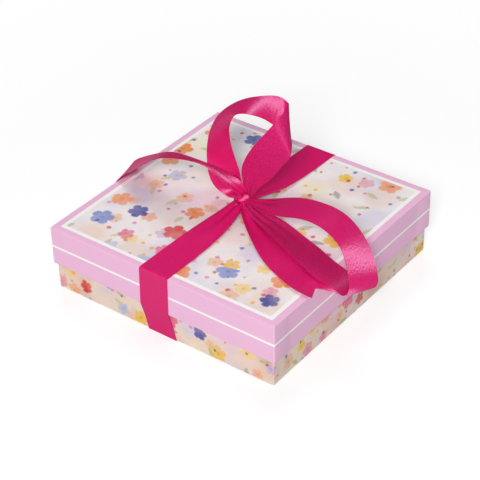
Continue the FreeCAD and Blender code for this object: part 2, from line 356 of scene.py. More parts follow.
SMALLEST_MOTIF = 0.6        # radius of the smallest motif, as a share of the largest
PETAL_WAVES = 2.5           # half the count of petals: each half wave of a cosine is one
PETAL_ROOT = 0.58           # radius between two petals, as a share of the blossom's
BLOSSOM_HEART = 0.2         # radius of its heart, likewise
HEART_STRENGTH = 0.8        # how much of its own tone a motif's heart shows
LEAF_BELLY = 0.34           # half a leaf's width, as a share of half its length
LEAF_MIDRIB = 0.05          # half its midrib's width, likewise
CELL_JITTER = 0.8           # how far the motifs stray from an even grid, up to 1
POOLS_PER_CELL = 2.6        # pools of paint along the side of a cell
THIN_PAINT = 0.7            # how much of its strength the palest paint keeps


@dataclass(frozen=True)
class ScatterLayer:
    """Motifs of one kind, at most one in each cell of a jittered grid.

    Attributes:
        motif: shape of each.
        spacing: distance between cells.
        radius: size of the largest motif.
        palette: sRGB hex colours.
        share: share of the cells that hold one.
        bleed: width of the soft edge of the paint.
        strength: how much of the ground it covers.
        shift: moves the cells, so that no two layers fall together.
        heart_tone: share of each primary that the motif's heart keeps.
    """

    motif: Motif
    spacing: float
    radius: float
    palette: tuple[str, ...]
    share: float
    bleed: float
    strength: float
    shift: float
    heart_tone: tuple[float, float, float] = (0.75, 0.55, 0.5)

    def outline(self, tree: Tree, offset: Node, cell: Node) -> tuple[Node, Node | None]:
        """How far a point lies inside the motif's edge and inside its heart, in cells.

        A dot's edge is a circle. A blossom's edge is a circle swollen into five lobes by the root of a
        cosine, and its heart is a small circle. A leaf is the space between two parabolas, and its heart is
        its midrib.

        Args:
            tree: the material's nodes.
            offset: place in the cell, from the motif's middle.
            cell: the cell's three random numbers, as a separated colour.

        Returns:
            Node whose value is above 0 inside the motif, and one that is above 0 inside its heart.
        """
        size = self.radius / self.spacing
        turn = add_node(tree, "Math", {0: cell.outputs[2], 1: 2 * math.pi}, operation="MULTIPLY")
        spun = add_node(tree, "VectorRotate", {"Vector": offset, "Angle": turn}, rotation_type="Z_AXIS")
        limit = add_node(tree, "MapRange", {0: cell.outputs[2], 3: SMALLEST_MOTIF * size, 4: size})
        place = add_node(tree, "SeparateXYZ", {0: spun})
        if self.motif is Motif.LEAF:
            belly = LEAF_BELLY * size
            along = add_node(tree, "Math", {0: place.outputs[0], 1: limit}, operation="DIVIDE")
            square = add_node(tree, "Math", {0: along, 1: 2.0}, operation="POWER")
            edge = add_node(tree, "Math", {0: square, 1: -belly, 2: belly}, operation="MULTIPLY_ADD")
            side = add_node(tree, "Math", {0: place.outputs[1]}, operation="ABSOLUTE")
            inside = add_node(tree, "Math", {0: edge, 1: side}, operation="SUBTRACT")
            return inside, add_node(tree, "Math", {0: LEAF_MIDRIB * size, 1: side}, operation="SUBTRACT")
        reach = add_node(tree, "VectorMath", {0: spun}, operation="LENGTH").outputs["Value"]
        if self.motif is Motif.DOT:
            return add_node(tree, "Math", {0: limit, 1: reach}, operation="SUBTRACT"), None
        angle = add_node(tree, "Math", {0: place.outputs[1], 1: place.outputs[0]}, operation="ARCTAN2")
        petals = add_node(tree, "Math", {0: angle, 1: PETAL_WAVES}, operation="MULTIPLY")
        wave = add_node(tree, "Math", {0: petals}, operation="COSINE")
        lobe = add_node(tree, "Math", {0: wave}, operation="ABSOLUTE")
        round_lobe = add_node(tree, "Math", {0: lobe, 1: 0.5}, operation="POWER")
        swell = add_node(tree, "Math", {0: round_lobe, 1: 1 - PETAL_ROOT, 2: PETAL_ROOT},
                         operation="MULTIPLY_ADD")
        edge = add_node(tree, "Math", {0: limit, 1: swell}, operation="MULTIPLY")
        inside = add_node(tree, "Math", {0: edge, 1: reach}, operation="SUBTRACT")
        core = add_node(tree, "Math", {0: limit, 1: BLOSSOM_HEART}, operation="MULTIPLY")
        return inside, add_node(tree, "Math", {0: core, 1: reach}, operation="SUBTRACT")

    def paint(self, tree: Tree, place: Node, ground: Node) -> Node:
        """Lay the motifs over a ground colour.

        Args:
            tree: the material's nodes.
            place: place on the paper in metres, with the third number 0.
            ground: colour so far.

        Returns:
            Node that gives the new colour.
        """
        steps = add_node(tree, "VectorMath", {0: place, 1: (1 / self.spacing,) * 3, 2: (self.shift,) * 3},
                         operation="MULTIPLY_ADD")
        cells = add_node(tree, "TexVoronoi", {"Vector": steps, "Scale": 1.0, "Randomness": CELL_JITTER},
                         voronoi_dimensions="2D")
        offset = add_node(tree, "VectorMath", {0: steps, 1: cells.outputs["Position"]}, operation="SUBTRACT")
        flat = add_node(tree, "VectorMath", {0: offset, 1: (1, 1, 0)}, operation="MULTIPLY")
        cell = add_node(tree, "SeparateColor", {0: cells.outputs["Color"]})
        inside, heart = self.outline(tree, flat, cell)
        soft = self.bleed / self.spacing
        covered = add_node(tree, "MapRange", {0: inside, 1: -soft, 2: soft, 4: self.strength},
                           interpolation_type="SMOOTHSTEP")
        held = add_node(tree, "Math", {0: cell.outputs[0], 1: self.share}, operation="LESS_THAN")
        mask = add_node(tree, "Math", {0: covered, 1: held}, operation="MULTIPLY")
        count = len(self.palette)
        stops = [(number / count, code) for number, code in enumerate(self.palette)]
        colour = set_ramp(add_node(tree, "ValToRGB", {0: cell.outputs[1]}), stops, "CONSTANT")
        if heart is not None:
            in_heart = add_node(tree, "MapRange", {0: heart, 1: -soft, 2: soft, 4: HEART_STRENGTH})
            dark = add_node(tree, "VectorMath", {0: colour, 1: self.heart_tone}, operation="MULTIPLY")
            colour = add_node(tree, "Mix", {0: in_heart, 6: colour, 7: dark}, data_type="RGBA")
        # thinned paint pools at some places and pales at others
        pool = add_node(tree, "TexNoise", {"Vector": steps, "Scale": POOLS_PER_CELL, "Detail": 3.0})
        thin = add_node(tree, "MapRange", {0: pool, **NOISE, 3: THIN_PAINT, 4: 1.0})
        mask = add_node(tree, "Math", {0: mask, 1: thin}, operation="MULTIPLY")
        return add_node(tree, "Mix", {0: mask, 6: ground, 7: colour}, data_type="RGBA")


@dataclass(frozen=True)
class PrintedPaper(Finish):
    """Offset-printed wrapping paper under a silk varnish: smooth, low in gloss, faint fibre under the ink.

    Paper fibre is about 0.05 mm across; it is drawn at 0.6 mm so that it shows.

    Attributes:
        fibre: size of the fibre's pattern.
        relief: height of its bumps.
        mottle: share of the colour kept where the fibre is darkest.
        roughness: least and greatest roughness, which follows the fibre.
        gloss: level of the varnish's reflection.
        wander: size of the waves in the motifs' edges.
        sway: how far those waves push an edge at most, to both sides together.
        wash: size of the ground's clouds of colour.
    """

    fibre: float = 0.6 * MM
    relief: float = 0.05 * MM
    mottle: float = 0.965
    roughness: tuple[float, float] = (0.5, 0.62)
    gloss: float = 0.35
    wander: float = 3.5 * MM
    sway: float = 1.6 * MM
    wash: float = 42 * MM

    def printed(self, tree: Tree, place: Node, washes: tuple[str, ...],
                layers: tuple[ScatterLayer, ...]) -> Node:
        """Watercolour print: broad washes that run into each other, with motifs strewn over them.

        Args:
            tree: the material's nodes.
            place: place on the paper in metres, with the third number 0.
            washes: sRGB hex colours of the ground, in the order that they run into each other.
            layers: motifs from the lowest to the topmost.

        Returns:
            Node that gives the printed colour.
        """
        waves = add_node(tree, "TexNoise", {"Vector": place, "Scale": 1 / self.wander, "Detail": 2.0})
        push = add_node(tree, "VectorMath", {0: waves.outputs["Color"], 1: (0.5, 0.5, 0.5)},
                        operation="SUBTRACT")
        unsteady = add_node(tree, "VectorMath", {0: push, 1: (self.sway, self.sway, 0), 2: place},
                            operation="MULTIPLY_ADD")
        cloud = add_node(tree, "TexNoise",
                         {"Vector": place, "Scale": 1 / self.wash, "Detail": 4.0, "Roughness": 0.55})
        spread = add_node(tree, "MapRange", {0: cloud, **NOISE})
        stops = [(number / (len(washes) - 1), code) for number, code in enumerate(washes)]
        colour = set_ramp(add_node(tree, "ValToRGB", {0: spread}), stops)
        for layer in layers:
            colour = layer.paint(tree, unsteady, colour)
        return colour

    def varnish(self, tree: Tree, shader: Node, place: bpy.types.NodeSocket, colour: Node) -> None:
        """Finish the sheet with faint mottling, fibre bump and varnish.

        Args:
            tree: the material's nodes.
            shader: the material's shader.
            place: Object coordinates.
            colour: the printed colour.
        """
        fibre = add_node(tree, "TexNoise", {"Vector": place, "Scale": 1 / self.fibre, "Detail": 3.0})
        shade = add_node(tree, "MapRange", {0: fibre, **NOISE, 3: self.mottle, 4: 1.0})
        set_inputs(tree, shader, {
            "Base Color": add_node(tree, "VectorMath", {0: colour, "Scale": shade}, operation="SCALE"),
            "Normal": add_node(tree, "Bump", {"Height": fibre, "Strength": 0.12, "Distance": self.relief}),
            "Roughness": add_node(tree, "MapRange", {0: fibre, 3: self.roughness[0], 4: self.roughness[1]}),
            "IOR": 1.48,
            "Specular IOR Level": self.gloss,
        })


BLOOM_COLOURS = ("#F0BE12", "#F08A3C", "#DC2A12", "#F2C93A", "#2C3C9E", "#E8688A", "#F3A06C", "#8497D2")
SOFT_COLOURS = ("#F6D45A", "#F2A878", "#E98FA6", "#AEBBE2", "#EDB98E", "#CDB0DA")
PALE_COLOURS = ("#F1D3C2", "#ECCCDA", "#DAD1E8", "#F4E7BE", "#D1DBEC")
LEAF_COLOURS = ("#B7C585", "#8F938C", "#CBD69A")
SPECK_COLOURS = ("#F0B41E", "#D23A22", "#3F52AE", "#E27C9A")


@dataclass(frozen=True)
class LidPrint(PrintedPaper):
    """The lid's sheet: pink ground, a white line round its sides and a flower print in a white frame on top.

    The piece's attribute "fall" gives the distance past the lid's edge, below 0 on top. The fields that say
    where the frame and the line lie are such distances too.

    Attributes:
        frame_outer, frame_inner: edges of the white frame.
        line_middle, line_width: the white line round the sides.
        crisp: half the width over which one colour turns to the next.
        washes, layers: the flower print's ground and motifs.
    """

    name: str = "varnished_lid_print"
    pink: str = "#F2BFDF"
    white: str = "#FDFBF8"
    frame_outer: float = -4.0 * MM
    frame_inner: float = -6.4 * MM
    line_middle: float = 11.7 * MM
    line_width: float = 1.4 * MM
    crisp: float = 0.12 * MM
    washes: tuple[str, ...] = ("#D8D4E3", "#EBE6EE", "#F6F0F0", "#F3E6DF", "#EBE0EE")
    # motif, spacing, radius, palette, share, bleed, strength and shift
    layers: tuple[ScatterLayer, ...] = (
        ScatterLayer(Motif.DOT, 30 * MM, 11 * MM, PALE_COLOURS, 0.8, 5.0 * MM, 0.6, 3.3),
        ScatterLayer(Motif.BLOSSOM, 19 * MM, 6.2 * MM, SOFT_COLOURS, 0.55, 0.9 * MM, 0.75, 9.1),
        ScatterLayer(Motif.LEAF, 15 * MM, 5.2 * MM, LEAF_COLOURS, 0.4, 0.5 * MM, 0.7, 11.7),
        ScatterLayer(Motif.BLOSSOM, 24 * MM, 7.0 * MM, BLOOM_COLOURS, 0.6, 0.7 * MM, 0.95, 15.9),
        ScatterLayer(Motif.DOT, 8 * MM, 1.4 * MM, SPECK_COLOURS, 0.4, 0.4 * MM, 0.85, 21.3),
    )

    def paint(self, tree: Tree, shader: Node) -> None:
        """Lay out the sheet's bands by their distance from the lid's edge, with the print inside the frame.

        Args:
            tree: the material's nodes.
            shader: the material's shader.
        """
        place = add_node(tree, "TexCoord").outputs["Object"]
        level = add_node(tree, "VectorMath", {0: place, 1: (1, 1, 0)}, operation="MULTIPLY")
        picture = self.printed(tree, level, self.washes, self.layers)
        fall = add_node(tree, "Attribute", attribute_name="fall").outputs["Fac"]
        crisp, half = self.crisp, self.line_width / 2
        in_frame, in_picture = (
            add_node(tree, "MapRange", {0: fall, 1: edge + crisp, 2: edge - crisp})
            for edge in (self.frame_outer, self.frame_inner))
        from_line = add_node(tree, "Math", {0: fall, 1: self.line_middle}, operation="SUBTRACT")
        off_line = add_node(tree, "Math", {0: from_line}, operation="ABSOLUTE")
        on_line = add_node(tree, "MapRange", {0: off_line, 1: half + crisp, 2: half - crisp})
        is_white = add_node(tree, "Math", {0: in_frame, 1: on_line}, operation="MAXIMUM")
        bands = add_node(tree, "Mix", {0: is_white, 6: linear_rgb(self.pink), 7: linear_rgb(self.white)},
                         data_type="RGBA")
        colour = add_node(tree, "Mix", {0: in_picture, 6: bands, 7: picture}, data_type="RGBA")
        self.varnish(tree, shader, place, colour)


@dataclass(frozen=True)
class BasePrint(PrintedPaper):
    """The base's sheet: the flower print all over, laid out on the sheet's own UV map, which is in metres.

    Attributes:
        washes, layers: the flower print's ground and motifs.
    """

    name: str = "varnished_base_print"
    washes: tuple[str, ...] = ("#D4C2D0", "#E4CFCF", "#EEDAC9", "#E7C4B3", "#DEC5D2")
    # motif, spacing, radius, palette, share, bleed, strength and shift
    layers: tuple[ScatterLayer, ...] = (
        ScatterLayer(Motif.DOT, 22 * MM, 8 * MM, PALE_COLOURS, 0.8, 3.0 * MM, 0.7, 5.2),
        ScatterLayer(Motif.BLOSSOM, 15 * MM, 5.2 * MM, SOFT_COLOURS, 0.65, 0.7 * MM, 0.9, 9.4),
        ScatterLayer(Motif.LEAF, 12 * MM, 4.4 * MM, LEAF_COLOURS, 0.55, 0.4 * MM, 0.9, 14.6),
        ScatterLayer(Motif.BLOSSOM, 19 * MM, 5.8 * MM, BLOOM_COLOURS, 0.6, 0.6 * MM, 0.95, 17.2),
        ScatterLayer(Motif.DOT, 7 * MM, 1.2 * MM, SPECK_COLOURS, 0.45, 0.3 * MM, 0.9, 18.8),
    )

    def paint(self, tree: Tree, shader: Node) -> None:
        """Print the whole sheet.

        Args:
            tree: the material's nodes.
            shader: the material's shader.
        """
        place = add_node(tree, "TexCoord").outputs["Object"]
        sheet = add_node(tree, "UVMap", uv_map="sheet")
        self.varnish(tree, shader, place, self.printed(tree, sheet, self.washes, self.layers))


@dataclass(frozen=True)
class FibreBoard(Finish):
    """Uncoated board, paper or tape: matte, with fibres of a second tone pressed into it.

    Fibres are about 0.03 mm across; they are drawn at the grain's size so that they show.

    Attributes:
        ground, fibres: sRGB hex colours.
        grain: size of a single fibre's pattern.
        roughness: the surface's.
        stretch: scale of the pattern along each axis.
        pulp_scale: scale of the clouds of pulp, as a share of the fibres' own.
    """

    name: str
    ground: str
    fibres: str
    grain: float
    roughness: float
    stretch: tuple[float, float, float] = (1.0, 1.0, 1.0)
    pulp_scale: float = 0.08

    def paint(self, tree: Tree, shader: Node) -> None:
        """Colour the board by two noises, one for clouds of pulp and one for single fibres.

        Args:
            tree: the material's nodes.
            shader: the material's shader.
        """
        place = add_node(tree, "TexCoord").outputs["Object"]
        drawn = add_node(tree, "Mapping", {"Vector": place, "Scale": self.stretch})
        single = add_node(tree, "TexNoise", {"Vector": drawn, "Scale": 1 / self.grain, "Detail": 5.0})
        cloud = add_node(tree, "TexNoise",
                         {"Vector": drawn, "Scale": self.pulp_scale / self.grain, "Detail": 2.0})
        both = add_node(tree, "Math", {0: single, 1: cloud}, operation="MULTIPLY")
        stops = [(0.12, self.fibres), (0.34, self.ground)]
        set_inputs(tree, shader, {
            "Base Color": set_ramp(add_node(tree, "ValToRGB", {0: both}), stops),
            "Normal": add_node(tree, "Bump", {"Height": single, "Strength": 0.3, "Distance": 0.1 * MM}),
            "Roughness": self.roughness,
        })


@dataclass(frozen=True)
class SatinWeave(Finish):
    """Polyester satin: long floats along the ribbon throw the light into a band across it.

    Floats are about 0.15 mm across; they are drawn 0.5 mm across and 1.6 mm long, so that the sheen's grain
    shows.

    Attributes:
        ground, glint: sRGB hex colours of the threads and of pale flecks: uneven tone and partly a painted
            glint.
        glint_share: how much of the glint's colour the brightest fleck has.
        roughness: the surface's, on average.
        gloss: level of its reflection.
        sheen: weight of the light that its fibres scatter at the rim.
        grain: height of the floats' bumps.
        float_width, float_length: size that the floats are drawn at.
    """

    name: str
    ground: str
    glint: str
    glint_share: float
    roughness: float
    gloss: float
    sheen: float
    grain: float
    float_width: float = 0.5 * MM
    float_length: float = 1.6 * MM

    def paint(self, tree: Tree, shader: Node) -> None:
        """Lay flecks and fine ridges along the ribbon's UV map, which is in metres along and across.

        Args:
            tree: the material's nodes.
            shader: the material's shader.
        """
        strip = add_node(tree, "UVMap", uv_map="strip")
        floats = add_node(tree, "Mapping",
                          {"Vector": strip, "Scale": (1 / self.float_length, 1 / self.float_width, 1.0)})
        flecks = add_node(tree, "TexNoise", {"Vector": floats, "Scale": 1.0, "Detail": 1.0})
        # painted glint: the pale flecks in the base colour are partly the threads' uneven tone and partly a
        # glint of the floats
        glint_and_grain = add_node(tree, "MapRange", {0: flecks, 1: 0.35, 2: 0.7, 4: self.glint_share})
        threads = {0: glint_and_grain, 6: linear_rgb(self.ground), 7: linear_rgb(self.glint)}
        uneven = {0: flecks, **NOISE, 3: self.roughness - 0.08, 4: self.roughness + 0.1}
        set_inputs(tree, shader, {
            "Base Color": add_node(tree, "Mix", threads, data_type="RGBA"),
            "Roughness": add_node(tree, "MapRange", uneven),
            "Normal": add_node(tree, "Bump", {"Height": flecks, "Strength": 1.0, "Distance": self.grain}),
            "Tangent": add_node(tree, "Tangent", direction_type="UV_MAP", uv_map="strip"),
            "IOR": 1.6,
            "Specular IOR Level": self.gloss,
            "Specular Tint": linear_rgb("#FACDFF"),
            "Anisotropic": 1.0,
            # a quarter turn lays the band of light across the floats
            "Anisotropic Rotation": 0.25,
            "Sheen Weight": self.sheen,
            "Sheen Roughness": 0.25,
            "Sheen Tint": linear_rgb("#FFB4D2"),
        })


@dataclass(frozen=True)
class PileCloth(Finish):
    """Flocked velour or open foam: soft and matte, with a short nap that pales at grazing light.

    Flock is about 0.02 mm across; the velour's nap is drawn coarser, as tufts, so that it shows.

    Attributes:
        ground, shade: sRGB hex colours of the nap's tips and of the painted shade in the gaps between them.
        nap: size of a tuft or pore.
        depth: height of the bumps.
        sheen: weight of the light that the fibres scatter at the rim.
        patch: size of the broad patches of darker tone.
    """

    name: str
    ground: str
    shade: str
    nap: float
    depth: float
    sheen: float
    patch: float = 18 * MM

    def paint(self, tree: Tree, shader: Node) -> None:
        """Colour by fine cells, with painted shade in the nap's gaps or the foam's pores, and by broad darker
        patches.

        Args:
            tree: the material's nodes.
            shader: the material's shader.
        """
        place = add_node(tree, "TexCoord").outputs["Object"]
        cells = add_node(tree, "TexVoronoi", {"Vector": place, "Scale": 1 / self.nap})
        patchy_tone = add_node(tree, "TexNoise", {"Vector": place, "Scale": 1 / self.patch, "Detail": 3.0})
        tone = add_node(tree, "Math", {0: cells, 1: patchy_tone}, operation="MULTIPLY")
        # painted shade: the gaps between tufts and the foam's pores take the darker colour
        stops = [(0.05, self.shade), (0.4, self.ground)]
        set_inputs(tree, shader, {
            "Base Color": set_ramp(add_node(tree, "ValToRGB", {0: tone}), stops),
            "Normal": add_node(tree, "Bump", {"Height": cells, "Strength": 0.5, "Distance": self.depth}),
            "Roughness": 0.9,
            "Sheen Weight": self.sheen,
        })


@dataclass
class Tray:
    """One half of the box as a stack of rounded rectangles, from its shut side to its rim.

    Attributes:
        body: which half.
        corner: radius of the upright corners, over the paper.
        edge: radius of the shut side's edges, over the paper.
        fold: radius of the paper's folds over the rim.
        hold: distance from a bend to the row of points that keeps the flat beside it flat.
        margin: distance from an edge within which a wall has no even rows.
        lap: how far the tucked flap under the side walls' paper reaches from a corner.
        lap_slope: width of the slope from the flap to the wall.
        lap_start: depths between which the flap begins.
        least_corner: radius of the inner corners.
        stay_leg: how far a corner's tape reaches along each wall.
        half: half the outside's width and depth.
        depth: from the shut side to the rim.
        inward: 1 where the rim is over the shut side, and -1 where it is under it.
        shut: height of the shut side's outside.
    """

    body: Body
    corner: float = 0.7 * MM
    edge: float = 0.5 * MM
    fold: float = 0.35 * MM
    hold: float = 0.35 * MM
    margin: float = 1.5 * MM
    lap: float = 11 * MM
    lap_slope: float = 0.5 * MM
    lap_start: tuple[float, float] = (0.5 * MM, 2 * MM)
    least_corner: float = 0.02 * MM
    stay_leg: float = 9 * MM
    half: NDArray = field(init=False)
    depth: float = field(init=False)
    inward: float = field(init=False)
    shut: float = field(init=False)

    def __post_init__(self) -> None:
        """Read the outside of this half from its paper's solid."""
        low, high = (np.array(corner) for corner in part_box(self.body.value + "_wrap_paper"))
        self.half = (high[:2] - low[:2]) / 2
        self.depth = high[2] - low[2]
        self.inward = 1.0 if self.body is Body.BASE else -1.0
        self.shut = low[2] if self.body is Body.BASE else high[2]

    def outline(self) -> tuple[NDArray, NDArray, NDArray]:
        """Rectangle with round corners, once round anticlockwise seen from above.

        Each side has marks from -1 to 1 of its straight length, and each corner is a quarter circle. A point
        of the outline is unit times the straight half length, plus outward times the corner's radius.

        Returns:
            Unit places, outward directions, and how far the tucked flap lifts the paper at each, 0 to 1.
        """
        straight = float(self.half.min()) - self.corner
        near_lap = 1 - (self.lap + np.array([0.0, 1.0]) * self.lap_slope) / straight
        ends = np.concatenate([near_lap, [1 - self.hold / straight, 1.0]])
        marks = np.unique(np.concatenate([np.linspace(-0.8, 0.8, 9), -ends, ends]))
        angles = np.linspace(0, math.pi / 2, 7)[1:-1]
        unit, outward, flap = [], [], []
        for side in range(4):
            facing = (side - 1) * math.pi / 2
            normal = np.array([math.cos(facing), math.sin(facing)])
            along = np.array([-normal[1], normal[0]])
            turned = facing + angles
            unit += [normal + marks[:, None] * along, np.repeat((normal + along)[None], len(angles), axis=0)]
            outward += [np.repeat(normal[None], len(marks), axis=0),
                        np.stack([np.cos(turned), np.sin(turned)], axis=1)]
            flap += [smooth_step(near_lap[1], near_lap[0], np.abs(marks)) * (side % 2),
                     np.full(len(angles), 0.5)]
        return np.concatenate(unit), np.concatenate(outward), np.concatenate(flap)

    def rings(self, profile: NDArray, scales: NDArray, lifted: float) -> NDArray:
        """Carry a profile round the outline.

        Args:
            profile: rows of inset from the outside and depth from the shut side.
            scales: share of each ring kept, below 1 on a flat side that closes to its middle.
            lifted: thickness of the tucked flap.

        Returns:
            Points, one row for each of the profile's.
        """
        unit, outward, flap = self.outline()
        inset, depth = profile[:, :1, None], profile[:, 1:]
        radius = np.maximum(self.corner - inset, self.least_corner)
        plan = unit[None] * (self.half - inset - radius) + outward[None] * radius
        on_wall = smooth_step(*self.lap_start, profile[:, 1]) * (profile[:, 0] == 0)
        plan = plan + outward[None] * (on_wall[:, None] * flap[None] * lifted)[..., None]
        plan = plan * scales[:, None, None]
        height = np.repeat(self.shut + self.inward * depth, plan.shape[1], axis=1)
        return np.concatenate([plan, height[..., None]], axis=-1)

    def shell(self, word: str, lines: list, scales: NDArray, lifted: float,
              middles: list[float]) -> tuple[Piece, NDArray, NDArray]:
        """Surface from a profile's rings, with a fan to the middle of one end or of both.

        Args:
            word: what is added to the half's name to name the piece.
            lines: stretches of the profile, each a list of rows for rings.
            scales: share of each ring kept.
            lifted: thickness of the tucked flap.
            middles: depth of the first end's middle point, and of the last's where that is shut too.

        Returns:
            The piece, its rings and the whole profile.
        """
        profile = np.concatenate([np.asarray(line, dtype=float) for line in lines])
        rings = self.rings(profile, scales, lifted)
        heights = self.shut + self.inward * np.array(middles)
        tips = np.column_stack([np.zeros((len(middles), 2)), heights])
        rows, columns = rings.shape[:2]
        column = np.arange(columns)
        after = (column + 1) % columns
        tip = np.full(columns, rows * columns)
        last = (rows - 1) * columns
        fans = (np.stack([tip, column, after], axis=1),
                np.stack([last + column, tip + 1, last + after], axis=1))
        piece = mesh_piece(self.body.value + word, np.concatenate([rings.reshape(-1, 3), tips]),
                           grid_faces(rows, columns, closed=True), *fans[:len(middles)],
                           flip=self.body is Body.BASE)
        return piece, rings, profile

    @staticmethod
    def quarter(start: tuple[float, float], corner: tuple[float, float], end: tuple[float, float]) -> NDArray:
        """Rounded corner of a profile: the quadratic curve from start to end that its corner pulls on."""
        share = np.linspace(0, 1, 6)[:, None]
        return ((1 - share) ** 2 * np.array(start) + 2 * share * (1 - share) * np.array(corner)
                + share ** 2 * np.array(end))

    def wrap(self, finish: Material) -> None:
        """Printed sheet over the shut side, down the walls, round the rim and in along the walls.

        The profile runs from the middle of the shut side to its edge, round it, along the wall, round the
        rim's two edges and back inside to the end of the turn-in.

        Args:
            finish: the printed paper.
        """
        wall, rim, fold = LINED_WALL, self.depth, self.fold
        flat = np.linspace(0.1, 1, 10)
        down = np.linspace(self.margin, rim - self.margin, 12)
        lines = [np.tile([self.edge, 0.0], (len(flat), 1)),
                 self.quarter((self.edge, 0), (0, 0), (0, self.edge))[1:],
                 [(0, self.edge + self.hold)],
                 np.stack([np.zeros_like(down), down], axis=1),
                 [(0, rim - fold - self.hold)],
                 self.quarter((0, rim - fold), (0, rim), (fold, rim)),
                 self.quarter((wall - fold, rim), (wall, rim), (wall, rim - fold)),
                 [(wall, rim - fold - self.hold), (wall, rim - TURN_IN)]]
        scales = np.ones(sum(len(line) for line in lines))
        scales[:len(flat)] = flat
        piece, rings, profile = self.shell("_printed_wrap", lines, scales, PAPER, [0.0])
        self.mark_sheet(piece, rings, profile, scales < 1)
        thicken(piece, PAPER, -1.0)
        dress(piece, self.body, self.body.value + "_print_paper", self.body.value + "_wrap_paper", finish)

    def mark_sheet(self, piece: Piece, rings: NDArray, profile: NDArray, on_side: NDArray) -> None:
        """Store where each point lies on the flat sheet.

        The attribute "fall" is the distance past the shut side's edge, below 0 on that side. The UV map
        "sheet" is the plan on the shut side, and the way round and the way down on the walls, in metres. The
        walls lie 1 m off on the map, clear of the shut side.

        Args:
            piece: the sheet.
            rings: its points, without the middle.
            profile: the profile that the rings carry.
            on_side: whether each ring lies on the shut side.
        """
        mesh = piece.data
        rows, columns = rings.shape[:2]
        run = distance_along(profile)
        inside_edge = (self.half - np.abs(rings[..., :2])).min(axis=-1)
        past_edge = np.repeat(run[:, None] - self.edge, columns, axis=1)
        fall = np.append(np.where(on_side[:, None], -inside_edge, past_edge).ravel(), -self.half.min())
        mesh.attributes.new("fall", "FLOAT", "POINT").data.foreach_set("value", fall.astype(np.float32))
        corner = np.empty(len(mesh.loops), dtype=np.int64)
        mesh.loops.foreach_get("vertex_index", corner)
        totals = np.empty(len(mesh.polygons), dtype=np.int64)
        mesh.polygons.foreach_get("loop_total", totals)
        face = np.repeat(np.arange(len(totals)), totals)
        row, column = np.minimum(corner // columns, rows - 1), corner % columns
        on_shut = (face >= (rows - 1) * columns) | (face // columns < np.count_nonzero(on_side))
        outer = rings[len(profile) // 2, :, :2]
        around = distance_along(outer)
        perimeter = around[-1] + np.linalg.norm(outer[-1] - outer[0])
        wraps_round = ((face % columns) == columns - 1) & (column == 0) & ~on_shut
        plan = np.concatenate([rings[..., :2].reshape(-1, 2), [[0, 0]]])[corner]
        walls = np.stack([around[column] + perimeter * wraps_round, 1.0 + run[row]], axis=1)
        map_corners(piece, "sheet", np.where(on_shut[:, None], plan, walls))

    def board(self, finish: Material) -> None:
        """Board tray folded from one scored blank, with the paper's thickness left all round.

        The profile runs from the middle of the shut side to its edge, along the wall, over the rim, back
        along the wall's inside and to the middle of the floor.

        Args:
            finish: the board.
        """
        skin, inner = PAPER + TAPE, PAPER + TAPE + BOARD
        rim, floor = self.depth - PAPER, PAPER + BOARD
        flat = np.linspace(0.25, 1, 4)
        wall = [(skin, PAPER + self.hold), (skin, rim), (inner, rim), (inner, floor + self.hold)]
        lines = [np.tile([skin, PAPER], (len(flat), 1)), wall, np.tile([inner, floor], (len(flat), 1))]
        scales = np.concatenate([flat, np.ones(len(wall)), flat[::-1]])
        piece = self.shell("_greyboard", lines, scales, 0.0, [PAPER, floor])[0]
        piece.data.shade_flat()
        dress(piece, self.body, "greyboard", self.body.value + "_board_tray", finish)

    def stays(self, finish: Material) -> None:
        """Tape folded round each upright corner of the board, under the paper.

        Each is a path of two straight legs and a quarter circle in plan, carried up the corner.

        Args:
            finish: the tape.
        """
        radius = self.corner - PAPER
        leg = self.stay_leg - self.corner
        rise = self.shut + self.inward * np.array([self.edge, self.depth - PAPER])
        angles = np.linspace(0, math.pi / 2, 9)
        for y_sign, depth_word in ((-1, "front"), (1, "back")):
            for x_sign, side_word in ((-1, "left"), (1, "right")):
                centre = np.array([x_sign, y_sign]) * (self.half - self.corner)
                bend = centre + radius * np.stack([x_sign * np.cos(angles), y_sign * np.sin(angles)], axis=1)
                path = np.concatenate([[bend[0] - [0, y_sign * leg]], bend, [bend[-1] - [x_sign * leg, 0]]])
                points = np.stack([np.column_stack([path, np.full(len(path), level)]) for level in rise])
                word = "%s_%s" % (depth_word, side_word)
                piece = mesh_piece("%s_stay_tape_%s" % (self.body.value, word), points,
                                   grid_faces(2, len(path), closed=False),
                                   flip=x_sign * y_sign * self.inward < 0)
                thicken(piece, TAPE, -1.0)
                dress(piece, self.body, "stay_tape", "%s_corner_stay_%s" % (self.body.value, word), finish)


